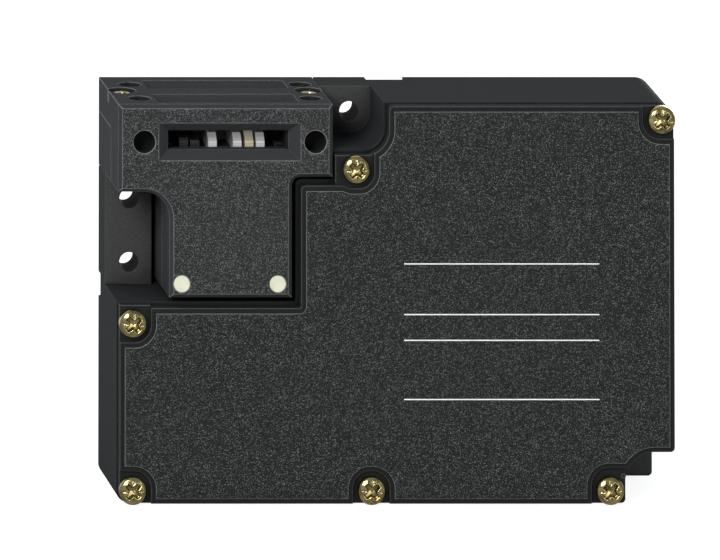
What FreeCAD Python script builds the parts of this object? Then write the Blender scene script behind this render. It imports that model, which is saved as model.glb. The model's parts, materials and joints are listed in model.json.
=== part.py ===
import FreeCAD, Part
import math
import os
import re

import Sketcher
from FreeCAD import Placement, Rotation, Vector

# Solenoid interlock for a machine guard: a flat moulded case with a T-shaped actuating head.
# X runs along the case, Z up, Y from the front face to the back. All sizes are in millimetres.
# "Depth" below is the distance behind the front face of the cover.

SIZES = {
    # Case
    "case_width": 130.0,
    "case_height": 90.0,
    "case_depth": 30.0,
    "wall": 2.5,
    "floor_thickness": 2.5,
    "corner_radius": 2.5,
    "top_corner_radius": 4.0,
    "edge_radius": 1.0,
    # Stepped lower right corner and the tab behind it
    "step_width": 11.4,
    "step_low": 8.0,
    "step_high": 11.6,
    "step_run": 6.2,
    "step_sweep": 7.0,
    "tab_inset": 1.7,
    # Recesses for the mounting screws
    "flange_depth": 21.0,
    "recess_width": 11.0,
    "pocket_width": 12.0,
    "pocket_drop": 10.7,
    "pocket_radius": 5.0,
    "mount_hole": 4.5,
    "side_hole_inset": 5.7,
    "lower_hole_lift": 5.0,
    "upper_hole_drop": 5.8,
    "top_hole_inset": 6.9,
    "top_hole_drop": 5.8,
    "notch": 0.6,
    "notch_width": 9.0,
    "notch_depth": 2.8,
    # Cover and its gasket
    "cover_thickness": 3.0,
    "cover_skin": 1.6,
    "cover_step": 0.4,
    "cover_rim": 1.1,
    "cover_ledge": 2.8,
    "cover_inset": 0.3,
    "recess_inset": 0.8,
    "land_depth": 1.2,
    "land_reach": 4.3,
    "land_radius": 4.0,
    "gasket_thickness": 0.5,
    "gasket_inset": 0.6,
    "gasket_width": 1.6,
    # Cover screws
    "screw_edge": 3.3,
    "screw_head": 6.4,
    "screw_head_height": 2.4,
    "screw_head_round": 0.9,
    "screw_shank": 3.0,
    "screw_length": 12.0,
    "screw_clearance": 0.1,
    "recess_slot": 0.9,
    "recess_length": 3.6,
    "recess_depth": 1.3,
    "boss_reach": 6.6,
    "step_screw_inset": 4.0,
    "side_screw_drop": 4.2,
    "pocket_screw_offset": 5.0,
    "pocket_screw_drop": 3.8,
    # Actuating head
    "head_width": 50.1,
    "head_gap": 0.3,
    "head_front": 0.8,
    "head_bevel": 0.9,
    "head_centre": 26.0,
    "head_parting": 12.2,
    "cap_height": 7.5,
    "left_arm_height": 19.8,
    "right_arm_height": 16.4,
    "shoulder_gap": 1.0,
    "shoulder_curve": 6.0,
    "shoulder_bend": 2.0,
    "stem_inset": 12.0,
    "stem_width": 28.6,
    "stem_foot": 46.4,
    "stem_side_gap": 1.2,
    "stem_foot_gap": 1.4,
    # Tongue slots and guide holes
    "slot_width": 28.2,
    "slot_height": 4.3,
    "funnel_rim_width": 33.2,
    "funnel_rim_height": 8.5,
    "funnel_depth": 2.4,
    "slot_offset": 7.25,
    "front_slot_offset": 7.6,
    "channel_end": 26.5,
    "channel_drop": 3.0,
    "guide_hole": 5.2,
    "guide_hole_pitch": 40.0,
    "guide_hole_depth": 6.0,
    "top_guide_depth": 5.2,
    # Head screws and retaining pins
    "head_screw_inset": 3.2,
    "head_screw_depth": 16.0,
    "head_screw_head": 5.6,
    "head_screw_height": 2.0,
    "head_screw_sink": 2.6,
    "head_screw_shank": 2.9,
    "head_screw_length": 11.0,
    "pin_diameter": 3.7,
    "pin_pitch": 22.4,
    "pin_lift": 3.2,
    "pin_seat": 2.0,
    # Cam
    "cam_depth": 15.0,
    "cam_drop": 16.0,
    "cam_radius": 10.2,
    "cam_width": 23.0,
    "cam_turn": 60.0,
    "chamber_gap": 0.6,
    "axle_diameter": 4.0,
    "axle_length": 28.0,
    "running_gap": 0.05,
    "mouth_floor": 4.6,
    "mouth_wall": 2.0,
    "disc_thickness": 2.0,
    "disc_radius": 9.9,
    "disc_foot": 3.2,
    "disc_front": 7.6,
    "disc_gap": 0.1,
    "finger_top": 8.0,
    "tall_finger_top": 9.2,
    # Switching slide
    "slide_travel": 4.0,
    "slide_width": 9.0,
    "slide_depth": 6.0,
    "slide_gap": 0.3,
    "slide_foot": 9.0,
    "tip_radius": 1.2,
    "tip_neck": 1.6,
    "tip_taper": 5.0,
    "tip_clearance": 0.15,
    "tip_start": 9.6,
    "lug_thickness": 1.4,
    "lug_reach": 4.0,
    "post_diameter": 3.0,
    "post_height": 11.5,
    "post_bore_depth": 3.0,
    # Contacts on the slide
    "bridge_length": 26.0,
    "bridge_depth": 2.8,
    "bridge_thickness": 1.0,
    "bridge_tip": 0.5,
    "upper_bridge_drop": 7.4,
    "bridge_pitch": 7.5,
    "window_height": 6.0,
    "window_gap": 0.3,
    "contact_gap": 0.15,
    "contact_thickness": 1.0,
    "contact_reach": 8.0,
    "contact_tip_width": 2.6,
    "block_width": 38.0,
    "block_gap": 0.7,
    "block_back_gap": 1.5,
    "block_post": 5.0,
    "block_post_reach": 6.0,
    # Lock bolt and solenoid
    "bolt_travel": 4.2,
    "bolt_gap": 0.3,
    "bolt_drop": 5.9,
    "bolt_nose": 2.0,
    "bolt_nose_depth": 8.0,
    "bolt_nose_length": 13.0,
    "bolt_rod": 5.0,
    "yoke_offset": 27.0,
    "yoke_to_wall": 28.5,
    "yoke_height": 24.0,
    "yoke_depth": 16.0,
    "yoke_thickness": 2.6,
    "core_length": 14.0,
    "plunger_diameter": 8.0,
    "plunger_stop_gap": 4.0,
    "core_air_gap": 0.2,
    "bobbin_bore": 8.6,
    "bobbin_wall": 1.0,
    "bobbin_flange": 18.4,
    "bobbin_flange_thickness": 1.2,
    "winding_diameter": 17.6,
    "rear_rod": 3.2,
    "rear_rod_to_wall": 16.1,
    "clip_diameter": 8.0,
    "clip_thickness": 1.0,
    "clip_inset": 2.1,
    "guide_offset": 12.0,
    "guide_length": 4.0,
    "guide_reach": 6.0,
    "guide_drop": 3.1,
    "rib_width": 2.2,
    # Monitoring contact
    "tappet_gap": 0.1,
    "tappet_nose": 4.0,
    "tappet_body": 4.0,
    "tappet_size": 5.0,
    "tappet_to_wall": 7.9,
    "monitor_length": 14.0,
    "monitor_plate": 1.5,
    "monitor_height": 18.5,
    "monitor_depth": 10.0,
    "monitor_bridge_length": 14.0,
    "monitor_bridge_depth": 2.0,
    "contact_margin": 0.5,
    # Springs
    "spring_wire": 0.7,
    "slide_spring_diameter": 5.6,
    "return_spring_diameter": 6.4,
    "small_spring_diameter": 2.6,
    # Terminals
    "terminal_offset": 20.7,
    "terminal_gap": 2.5,
    "terminal_count": 8,
    "terminal_lift": 3.4,
    "terminal_height": 11.5,
    "terminal_front": 9.0,
    "clamp_wall": 1.9,
    "clamp_rim": 1.0,
    "clamp_height": 8.0,
    "clamp_depth": 5.0,
    "clamp_sink": 1.0,
    "terminal_screw_height": 1.6,
    "terminal_slot": 0.8,
    # Cable entries
    "entry_bore": 14.5,
    "entry_boss": 22.6,
    "entry_length": 10.5,
    "entry_depth": 15.5,
    "entry_inset": 19.6,
    "entry_pitch": 22.0,
    "side_entry_drop": 22.0,
    "plug_head": 18.8,
    "plug_head_thickness": 2.0,
    "plug_length": 9.5,
    "plug_gap": 0.1,
    "plug_slot": 1.6,
    "seal_thickness": 0.4,
}

doc = FreeCAD.newDocument("tongue_interlock_switch")
sheet = doc.addObject("Spreadsheet::Sheet", "sizes")
for row, (alias, number) in enumerate(SIZES.items(), start=1):
    sheet.set(f"A{row}", alias.replace("_", " "))
    sheet.set(f"B{row}", str(number))
    sheet.setAlias(f"B{row}", alias)
doc.recompute()

ALIASES = re.compile(r"\b(" + "|".join(sorted(SIZES, key=len, reverse=True)) + r")\b")


def tie(text):
    """The expression for a property, with every size name pointing at its cell."""
    return ALIASES.sub(r"sizes.\1", str(text))


def value(text):
    """The number that an expression of size names gives now."""
    return float(sheet.evalExpression(tie(text)))


# Places that several pieces share, as expressions of the sizes

LEFT = "-case_width / 2"
RIGHT = "case_width / 2"
TOP = "case_height"
FRONT = "(case_depth - screw_head_height + land_depth) / 2"
CASE_FRONT = "cover_thickness + gasket_thickness"
FLOOR = "case_depth - floor_thickness"
STEP_X = "case_width / 2 - step_width"
STEP_END = "case_width / 2 - step_width + step_run"
CAM_Z = "case_height - cam_drop"
CAP_FOOT = "case_height - cap_height"
SHOULDER_LEFT = "case_height - left_arm_height"
SHOULDER_RIGHT = "case_height - right_arm_height"
POCKET_FOOT = "case_height - pocket_drop"
HEAD_RIGHT = "-case_width / 2 + head_width"
HEAD_MID = "-case_width / 2 + head_centre"
STEM_LEFT = "-case_width / 2 + stem_inset"
STEM_RIGHT = "-case_width / 2 + stem_inset + stem_width"
SHAFT_LEFT = "-case_width / 2 + recess_width"
SHAFT_RIGHT = STEM_RIGHT + " + stem_side_gap"
RECESS_RIGHT = HEAD_RIGHT + " + head_gap"
RECESS_FOOT = "stem_foot - stem_foot_gap"
RECESS_SHOULDER = SHOULDER_RIGHT + " - shoulder_gap"
POCKET_RIGHT = RECESS_RIGHT + " + pocket_width"
SCREW_LEFT = "-case_width / 2 + screw_edge"
SCREW_STEP = "case_width / 2 - step_width - step_screw_inset"
SCREW_RIGHT = "case_width / 2 - screw_edge"
SCREW_POCKET = RECESS_RIGHT + " + pocket_screw_offset"
SCREW_POCKET_Z = POCKET_FOOT + " - pocket_screw_drop"
SCREW_BOTTOM = f"({SCREW_LEFT} + {SCREW_STEP}) / 2"
SCREW_SIDE_Z = "stem_foot - stem_foot_gap - side_screw_drop"
SCREW_TOP_Z = "case_height - screw_edge"
SCREWS = [
    (SCREW_LEFT, "screw_edge"),
    (SCREW_BOTTOM, "screw_edge"),
    (SCREW_STEP, "screw_edge"),
    (SCREW_RIGHT, SCREW_TOP_Z),
    (SCREW_POCKET, SCREW_POCKET_Z),
    (SCREW_LEFT, SCREW_SIDE_Z),
]
MOUNT_HOLES = [
    (LEFT + " + side_hole_inset", RECESS_FOOT + " + lower_hole_lift"),
    (LEFT + " + side_hole_inset", SHOULDER_LEFT + " - upper_hole_drop"),
    (RECESS_RIGHT + " + top_hole_inset", "case_height - top_hole_drop"),
]
PINS = [(HEAD_MID + sign + "pin_pitch / 2", "stem_foot + pin_lift") for sign in (" - ", " + ")]
HEAD_SCREWS = [LEFT + " + head_screw_inset", HEAD_RIGHT + " - head_screw_inset"]
TIP_TOP = CAM_Z + " - tip_start - tip_clearance"
BOLT_Z = RECESS_FOOT + " - bolt_drop"
GUIDE_LEFT = HEAD_MID + " + guide_offset"
YOKE_LEFT = HEAD_MID + " + yoke_offset"
YOKE_RIGHT = "case_width / 2 - wall - yoke_to_wall"
ROD_END = "case_width / 2 - wall - rear_rod_to_wall"
FIRST_ENTRY = STEP_X + " - entry_inset - entry_pitch"
SECOND_ENTRY = STEP_X + " - entry_inset"
SIDE_ENTRY_Z = "case_height - side_entry_drop"
TURN = {
    "X": Rotation(Vector(0, 1, 0), 90),
    "Y": Rotation(Vector(1, 0, 0), -90),
    "Z": Rotation(),
}


def deep(text):
    """The Y of a depth behind the cover's face."""
    return f"({text}) - {FRONT}"


# Sketches

# A corner is (x, z), (x, z, bend radius) or (x, z, None, sweep radius). A sweep is an arc that cuts
# into the outline on its way to the next corner.

def unpack(corner):
    return (tuple(corner) + (None, None))[:4]


def bend(corners, index):
    """Where the outline enters and leaves a corner: two points when the corner is rounded."""
    x, z, radius, _ = unpack(corners[index])
    if radius is None:
        return [(x, z)]
    ends = []
    for other in (corners[index - 1], corners[(index + 1) % len(corners)]):
        across = value(other[0]) - value(x)
        up = value(other[1]) - value(z)
        if abs(across) > abs(up):
            ends.append((f"{x} {'+' if across > 0 else '-'} ({radius})", z))
        else:
            ends.append((x, f"{z} {'+' if up > 0 else '-'} ({radius})"))
    return ends


def point(pair):
    return Vector(value(pair[0]), value(pair[1]), 0)


def inside(corners):
    """1 when the outline's inside is on its left, -1 when it is on its right."""
    places = [point(corner) for corner in corners]
    turns = sum(a.x * b.y - a.y * b.x for a, b in zip(places, places[1:] + places[:1]))
    return 1 if turns > 0 else -1


def sweep_centre(start, end, radius, side):
    chord = end - start
    inwards = Vector(-chord.y, chord.x, 0).normalize() * side
    return (start + end) * 0.5 - inwards * math.sqrt(radius ** 2 - (chord.Length / 2) ** 2), inwards


def heading(corners, index, side, leaving):
    """The direction of travel where an edge leaves its first corner or reaches its last."""
    start, end = point(corners[index]), point(corners[(index + 1) % len(corners)])
    sweep = unpack(corners[index])[3]
    if sweep is None:
        return (end - start).normalize()
    centre, _ = sweep_centre(start, end, value(sweep), side)
    arm = (start if leaving else end) - centre
    along = Vector(-arm.y, arm.x, 0).normalize()
    return along if along.dot(end - start) > 0 else along * -1


def draw_outline(sketch, corners):
    """A closed outline whose every corner is placed, and every bend sized, from the sheet."""
    bends = [bend(corners, index) for index in range(len(corners))]
    side = inside(corners)
    pieces = []
    for index, ends in enumerate(bends):
        following = bends[(index + 1) % len(bends)]
        if len(ends) == 2:
            start, end = point(ends[0]), point(ends[1])
            corner = point(corners[index])
            centre = start + end - corner
            radius = (start - corner).Length
            middle = centre + (corner - centre).normalize() * radius
            forward = (start - centre).cross(end - centre).z > 0
            arc = Part.Arc(start, middle, end) if forward else Part.Arc(end, middle, start)
            number = sketch.addGeometry(arc, False)
            pieces.append((number, (1, 2) if forward else (2, 1), ends[0], corners[index][2]))
        start, end = point(ends[-1]), point(following[0])
        sweep = unpack(corners[index])[3]
        if sweep is not None:
            centre, inwards = sweep_centre(start, end, value(sweep), side)
            middle = centre + inwards * value(sweep)
            forward = (start - centre).cross(end - centre).z > 0
            arc = Part.Arc(start, middle, end) if forward else Part.Arc(end, middle, start)
            number = sketch.addGeometry(arc, False)
            pieces.append((number, (1, 2) if forward else (2, 1), ends[-1], sweep))
        elif not start.isEqual(end, 1e-6):
            number = sketch.addGeometry(Part.LineSegment(start, end), False)
            pieces.append((number, (1, 2), ends[-1], None))
    for (number, ends, _, _), (after, after_ends, _, _) in zip(pieces, pieces[1:] + pieces[:1]):
        sketch.addConstraint(Sketcher.Constraint("Coincident", number, ends[1], after, after_ends[0]))
    for number, ends, place, radius in pieces:
        for kind, text in zip(("DistanceX", "DistanceY"), place):
            pin_point(sketch, kind, number, ends[0], text)
        if radius is not None:
            rule = sketch.addConstraint(Sketcher.Constraint("Radius", number, value(radius)))
            sketch.setExpression(f"Constraints[{rule}]", tie(radius))


def pin_point(sketch, kind, number, which, text):
    rule = sketch.addConstraint(Sketcher.Constraint(kind, -1, 1, number, which, value(text)))
    sketch.setExpression(f"Constraints[{rule}]", tie(text))


def narrowed(corners, inset):
    """The same outline moved inwards all round, its bends kept concentric."""
    side = inside(corners)
    result = []
    for index, corner in enumerate(corners):
        x, z, radius, sweep = unpack(corner)
        ahead = heading(corners, index, side, True)
        behind = heading(corners, index - 1, side, False)
        first = Vector(-behind.y, behind.x, 0) * side
        second = Vector(-ahead.y, ahead.x, 0) * side
        shift = (first + second) * (1 / (1 + first.dot(second)))
        texts = []
        for text, move in ((x, shift.x), (z, shift.y)):
            texts.append(f"{text} {'+' if move > 0 else '-'} {abs(move):.5f} * ({inset})")
        if radius is not None:
            outwards = (behind.x * ahead.y - behind.y * ahead.x) * side > 0
            radius = f"{radius} {'-' if outwards else '+'} ({inset})"
            if value(radius) < 0.05:
                radius = None
        result.append((texts[0], texts[1], radius, sweep and f"{sweep} + ({inset})"))
    return result


def draw_circles(sketch, circles):
    for x, z, radius in circles:
        circle = Part.Circle(Vector(value(x), value(z), 0), Vector(0, 0, 1), value(radius))
        number = sketch.addGeometry(circle, False)
        pin_point(sketch, "DistanceX", number, 3, x)
        pin_point(sketch, "DistanceY", number, 3, z)
        rule = sketch.addConstraint(Sketcher.Constraint("Radius", number, value(radius)))
        sketch.setExpression(f"Constraints[{rule}]", tie(radius))


def body_sketch(body, name, role, offset, corners=(), circles=()):
    sketch = body.newObject("Sketcher::SketchObject", name)
    plane = [item for item in body.Origin.OriginFeatures if item.Role == role][0]
    sketch.AttachmentSupport = (plane, [""])
    sketch.MapMode = "FlatFace"
    sketch.setExpression("AttachmentOffset.Base.z", tie(offset))
    if corners:
        draw_outline(sketch, corners)
    draw_circles(sketch, circles)
    return sketch


def pad(body, name, start, end, corners=(), circles=()):
    """Material from one depth to a greater one."""
    sketch = body_sketch(body, name + "_sketch", "XZ_Plane", f"{FRONT} - ({start})", corners, circles)
    feature = body.newObject("PartDesign::Pad", name)
    feature.Profile = sketch
    feature.Reversed = True
    feature.setExpression("Length", tie(f"({end}) - ({start})"))
    doc.recompute()
    return feature


def pocket(body, name, start, end, corners=(), circles=()):
    """A cut from one depth to a greater one."""
    before = body.Shape.Volume
    sketch = body_sketch(body, name + "_sketch", "XZ_Plane", f"{FRONT} - ({start})", corners, circles)
    feature = body.newObject("PartDesign::Pocket", name)
    feature.Profile = sketch
    feature.setExpression("Length", tie(f"({end}) - ({start})"))
    doc.recompute()
    if body.Shape.Volume > before - 1:
        raise RuntimeError(f"{name} cuts nothing")
    return feature


def bevel(body, name, base, depth, size):
    """Chamfer the edges of the flat face at a depth."""
    y = value(deep(depth))
    names = []
    for number, edge in enumerate(base.Shape.Edges, start=1):
        box = edge.BoundBox
        if abs(box.YMin - y) < 1e-6 and abs(box.YMax - y) < 1e-6:
            names.append(f"Edge{number}")
    feature = body.newObject("PartDesign::Chamfer", name)
    feature.Base = (base, names)
    feature.setExpression("Size", tie(size))
    doc.recompute()
    return feature


# Solids

def block(name, x, depth, z):
    """A box between two values along each axis; the middle pair is in depth."""
    part = doc.addObject("Part::Box", name)
    for size, (low, high) in zip(("Length", "Width", "Height"), (x, depth, z)):
        part.setExpression(size, tie(f"({high}) - ({low})"))
    for axis, low in zip("xyz", (x[0], deep(depth[0]), z[0])):
        part.setExpression("Placement.Base." + axis, tie(low))
    return part


def rod(name, along, radius, length, x, depth, z):
    """A round bar that starts at a point and runs along one axis."""
    part = doc.addObject("Part::Cylinder", name)
    part.Placement = Placement(Vector(), TURN[along])
    part.setExpression("Radius", tie(radius))
    part.setExpression("Height", tie(length))
    for axis, text in zip("xyz", (x, deep(depth), z)):
        part.setExpression("Placement.Base." + axis, tie(text))
    return part


def fuse(name, parts):
    result = doc.addObject("Part::MultiFuse", name)
    result.Shapes = parts
    return result


def cut(name, base, tools):
    result = doc.addObject("Part::Cut", name)
    result.Base = base
    result.Tool = tools[0] if len(tools) == 1 else fuse(name + "_tools", tools)
    return result


def group(name, parts):
    result = doc.addObject("Part::Compound", name)
    result.Links = parts
    return result


def plate(name, start, end, corners, inset=None):
    """An outline drawn on its own and thickened towards the back, narrowed all round if asked."""
    sketch = doc.addObject("Sketcher::SketchObject", name + "_sketch")
    sketch.Placement = Placement(Vector(), Rotation(Vector(1, 0, 0), 90))
    sketch.setExpression("Placement.Base.y", tie(deep(start)))
    draw_outline(sketch, narrowed(corners, inset) if inset else corners)
    result = doc.addObject("Part::Extrusion", name)
    result.Base = sketch
    result.DirMode = "Custom"
    result.Dir = Vector(0, 1, 0)
    result.Solid = True
    result.setExpression("LengthFwd", tie(f"({end}) - ({start})"))
    return result


def shape(name, solid):
    result = doc.addObject("Part::Feature", name)
    result.Shape = solid
    return result


def coil(name, along, diameter, start, end, turns, x, depth, z):
    """A wound spring between two places on its axis, given along that axis."""
    wire = value("spring_wire") / 2
    length = value(end) - value(start) - 2 * wire
    radius = value(diameter) / 2 - wire
    path = Part.makeHelix(length / turns, length, radius)
    ring = Part.Wire(Part.Circle(Vector(radius, 0, 0), Vector(0, 1, 0), wire).toShape())
    spring = Part.Wire(path).makePipeShell([ring], True, True)
    base = Vector(value(x), value(deep(depth)), value(z))
    axis = TURN[along].multVec(Vector(0, 0, 1))
    spring.Placement = Placement(base + axis * (value(start) + wire), TURN[along])
    return shape(name, spring)


NODES = {}


def node(name, part):
    part.Label = name
    NODES[name] = part
    return part


# Rear case: a deep moulded tub with a full-depth recess for the head

case = doc.addObject("PartDesign::Body", "case_body")
pad(case, "case_walls", CASE_FRONT, "flange_depth", [
    (LEFT, "0", "corner_radius"),
    (STEP_X, "0", "edge_radius"),
    (STEP_X, "step_low", None, "step_sweep"),
    (STEP_END, "step_high"),
    (RIGHT, "step_high", "edge_radius"),
    (RIGHT, TOP, "top_corner_radius"),
    (POCKET_RIGHT, TOP),
    (POCKET_RIGHT, POCKET_FOOT, "pocket_radius"),
    (RECESS_RIGHT, POCKET_FOOT),
    (RECESS_RIGHT, RECESS_SHOULDER),
    (SHAFT_RIGHT, RECESS_SHOULDER, "edge_radius"),
    (SHAFT_RIGHT, RECESS_FOOT),
    (LEFT, RECESS_FOOT),
])
pad(case, "case_back", "flange_depth", "case_depth", [
    (LEFT, "0", "corner_radius"),
    (STEP_X, "0"),
    (STEP_X, "tab_inset"),
    (RIGHT + " - tab_inset", "tab_inset", "edge_radius"),
    (RIGHT + " - tab_inset", "step_high"),
    (RIGHT, "step_high"),
    (RIGHT, TOP, "top_corner_radius"),
    (RECESS_RIGHT, TOP),
    (RECESS_RIGHT, RECESS_SHOULDER),
    (SHAFT_RIGHT, RECESS_SHOULDER),
    (SHAFT_RIGHT, SHOULDER_LEFT + " - head_gap"),
    (LEFT, SHOULDER_LEFT + " - head_gap"),
])
pocket(case, "case_inside", CASE_FRONT, FLOOR, [
    (SCREW_LEFT + " + boss_reach", "wall"),
    (SCREW_BOTTOM + " - boss_reach", "wall"),
    (SCREW_BOTTOM + " - boss_reach", "screw_edge + boss_reach", "edge_radius"),
    (SCREW_BOTTOM + " + boss_reach", "screw_edge + boss_reach", "edge_radius"),
    (SCREW_BOTTOM + " + boss_reach", "wall"),
    (SCREW_STEP + " - boss_reach", "wall"),
    (SCREW_STEP + " - boss_reach", "step_low + wall", "edge_radius"),
    (STEP_X + " - wall", "step_low + wall"),
    (STEP_X + " - wall", "step_high + wall", "edge_radius"),
    (RIGHT + " - wall", "step_high + wall"),
    (RIGHT + " - wall", SCREW_TOP_Z + " - boss_reach"),
    (SCREW_RIGHT + " - boss_reach", SCREW_TOP_Z + " - boss_reach", "edge_radius"),
    (SCREW_RIGHT + " - boss_reach", TOP + " - wall"),
    (POCKET_RIGHT + " + wall", TOP + " - wall"),
    (POCKET_RIGHT + " + wall", POCKET_FOOT + " - wall"),
    (SCREW_POCKET + " + boss_reach", POCKET_FOOT + " - wall"),
    (SCREW_POCKET + " + boss_reach", SCREW_POCKET_Z + " - boss_reach", "edge_radius"),
    (SHAFT_RIGHT + " + wall", SCREW_POCKET_Z + " - boss_reach"),
    (SHAFT_RIGHT + " + wall", RECESS_FOOT + " - wall"),
    (SCREW_LEFT + " + boss_reach", RECESS_FOOT + " - wall"),
    (SCREW_LEFT + " + boss_reach", SCREW_SIDE_Z + " - boss_reach", "edge_radius"),
    (LEFT + " + wall", SCREW_SIDE_Z + " - boss_reach"),
    (LEFT + " + wall", "screw_edge + boss_reach"),
    (SCREW_LEFT + " + boss_reach", "screw_edge + boss_reach", "edge_radius"),
])
pocket(case, "stem_shaft", "flange_depth", FLOOR, [
    (SHAFT_LEFT, RECESS_FOOT),
    (SHAFT_RIGHT, RECESS_FOOT),
    (SHAFT_RIGHT, SHOULDER_RIGHT),
    (SHAFT_LEFT, SHOULDER_RIGHT),
])
screw_hole = "screw_shank / 2 + screw_clearance"
pocket(case, "screw_holes", CASE_FRONT, "land_depth + screw_length + 1",
       circles=[(x, z, screw_hole) for x, z in SCREWS])
pocket(case, "mounting_holes", "flange_depth", "case_depth + 1",
       circles=[(x, z, "mount_hole / 2") for x, z in MOUNT_HOLES])

entry_bosses = [
    rod("first_entry_boss", "Z", "entry_boss / 2", "entry_length", FIRST_ENTRY, "entry_depth", "0"),
    rod("second_entry_boss", "Z", "entry_boss / 2", "entry_length", SECOND_ENTRY, "entry_depth", "0"),
    rod("side_entry_boss", "X", "entry_boss / 2", "entry_length",
        RIGHT + " - entry_length", "entry_depth", SIDE_ENTRY_Z),
]
YOKE_FRONT = "cam_depth - yoke_depth / 2"
YOKE_BACK = "cam_depth + yoke_depth / 2"
YOKE_FOOT = BOLT_Z + " - yoke_height / 2"
YOKE_TOP = BOLT_Z + " + yoke_height / 2"
GUIDE_RIGHT = GUIDE_LEFT + " + guide_length"
inner_pieces = [
    block("left_rib", (YOKE_LEFT, YOKE_LEFT + " + rib_width"), (YOKE_BACK, FLOOR), (YOKE_FOOT, YOKE_TOP)),
    block("right_rib", (YOKE_RIGHT + " - rib_width", YOKE_RIGHT), (YOKE_BACK, FLOOR), (YOKE_FOOT, YOKE_TOP)),
    block("bolt_guide", (GUIDE_LEFT, GUIDE_RIGHT), ("cam_depth - guide_reach", FLOOR),
          (BOLT_Z + " - guide_drop", RECESS_FOOT + " - wall")),
    rod("slide_post", "Z", "post_diameter / 2", "post_height - wall", HEAD_MID, "cam_depth", "wall"),
]
case_solid = fuse("case_solid", [case] + entry_bosses + inner_pieces)


def entry_cut(name, along, x, z, plugged):
    """The threaded bore of a cable entry, drawn at its minor diameter, and the seat of its plug."""
    tools = [rod(name + "_bore", along, "entry_bore / 2", "entry_length + 2", x, "entry_depth", z)]
    if plugged:
        sink = "plug_head_thickness + seal_thickness"
        reach = sink + " + 1"
        seat = "plug_head / 2 + plug_gap"
        seat_x = RIGHT + " - (" + sink + ")" if along == "X" else x
        seat_z = "-1" if along == "Z" else z
        tools.append(rod(name + "_seat", along, seat, reach, seat_x, "entry_depth", seat_z))
    return tools


case_cuts = entry_cut("first_entry", "Z", FIRST_ENTRY, "-1", True)
case_cuts += entry_cut("second_entry", "Z", SECOND_ENTRY, "-1", False)
case_cuts += entry_cut("side_entry", "X", RIGHT + " - entry_length - 1", SIDE_ENTRY_Z, True)
SLIDE_LEFT = HEAD_MID + " - slide_width / 2"
SLIDE_RIGHT = HEAD_MID + " + slide_width / 2"
SLIDE_FRONT = "cam_depth - slide_depth / 2"
SLIDE_BACK = "cam_depth + slide_depth / 2"
NOSE_FOOT = BOLT_Z + " - bolt_nose / 2"
NOSE_TOP = BOLT_Z + " + bolt_nose / 2"
case_cuts += [
    block("slide_slot", (SLIDE_LEFT + " - slide_gap", SLIDE_RIGHT + " + slide_gap"),
          (SLIDE_FRONT + " - slide_gap", SLIDE_BACK + " + slide_gap"),
          (RECESS_FOOT + " - wall - 1", RECESS_FOOT + " + 1")),
    block("bolt_window", (GUIDE_LEFT + " - 1", GUIDE_RIGHT + " + 1"),
          ("cam_depth - bolt_nose_depth / 2 - running_gap * 3", "cam_depth + bolt_nose_depth / 2 + running_gap * 3"),
          (NOSE_FOOT + " - running_gap * 3", NOSE_TOP + " + running_gap * 3")),
    block("top_notch", (POCKET_RIGHT, POCKET_RIGHT + " + notch_width"),
          ("case_depth - notch_depth", "case_depth + 1"), (TOP + " - notch", TOP + " + 1")),
    block("side_notch", (LEFT + " - 1", LEFT + " + notch"), ("case_depth - notch_depth", "case_depth + 1"),
          (RECESS_FOOT + " - notch_width / 2", RECESS_FOOT + " + 1")),
]
pin_hole = "pin_diameter / 2 + running_gap"
for number, (x, z) in enumerate(PINS, start=1):
    case_cuts.append(rod(f"case_pin_hole_{number}", "Y", pin_hole, "pin_seat + 1", x, FLOOR + " - 1", z))
node("rear_case", cut("rear_case", case_solid, case_cuts))


# Front cover: an L-shaped plate with a raised field, and a sunk lug under each screw

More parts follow.
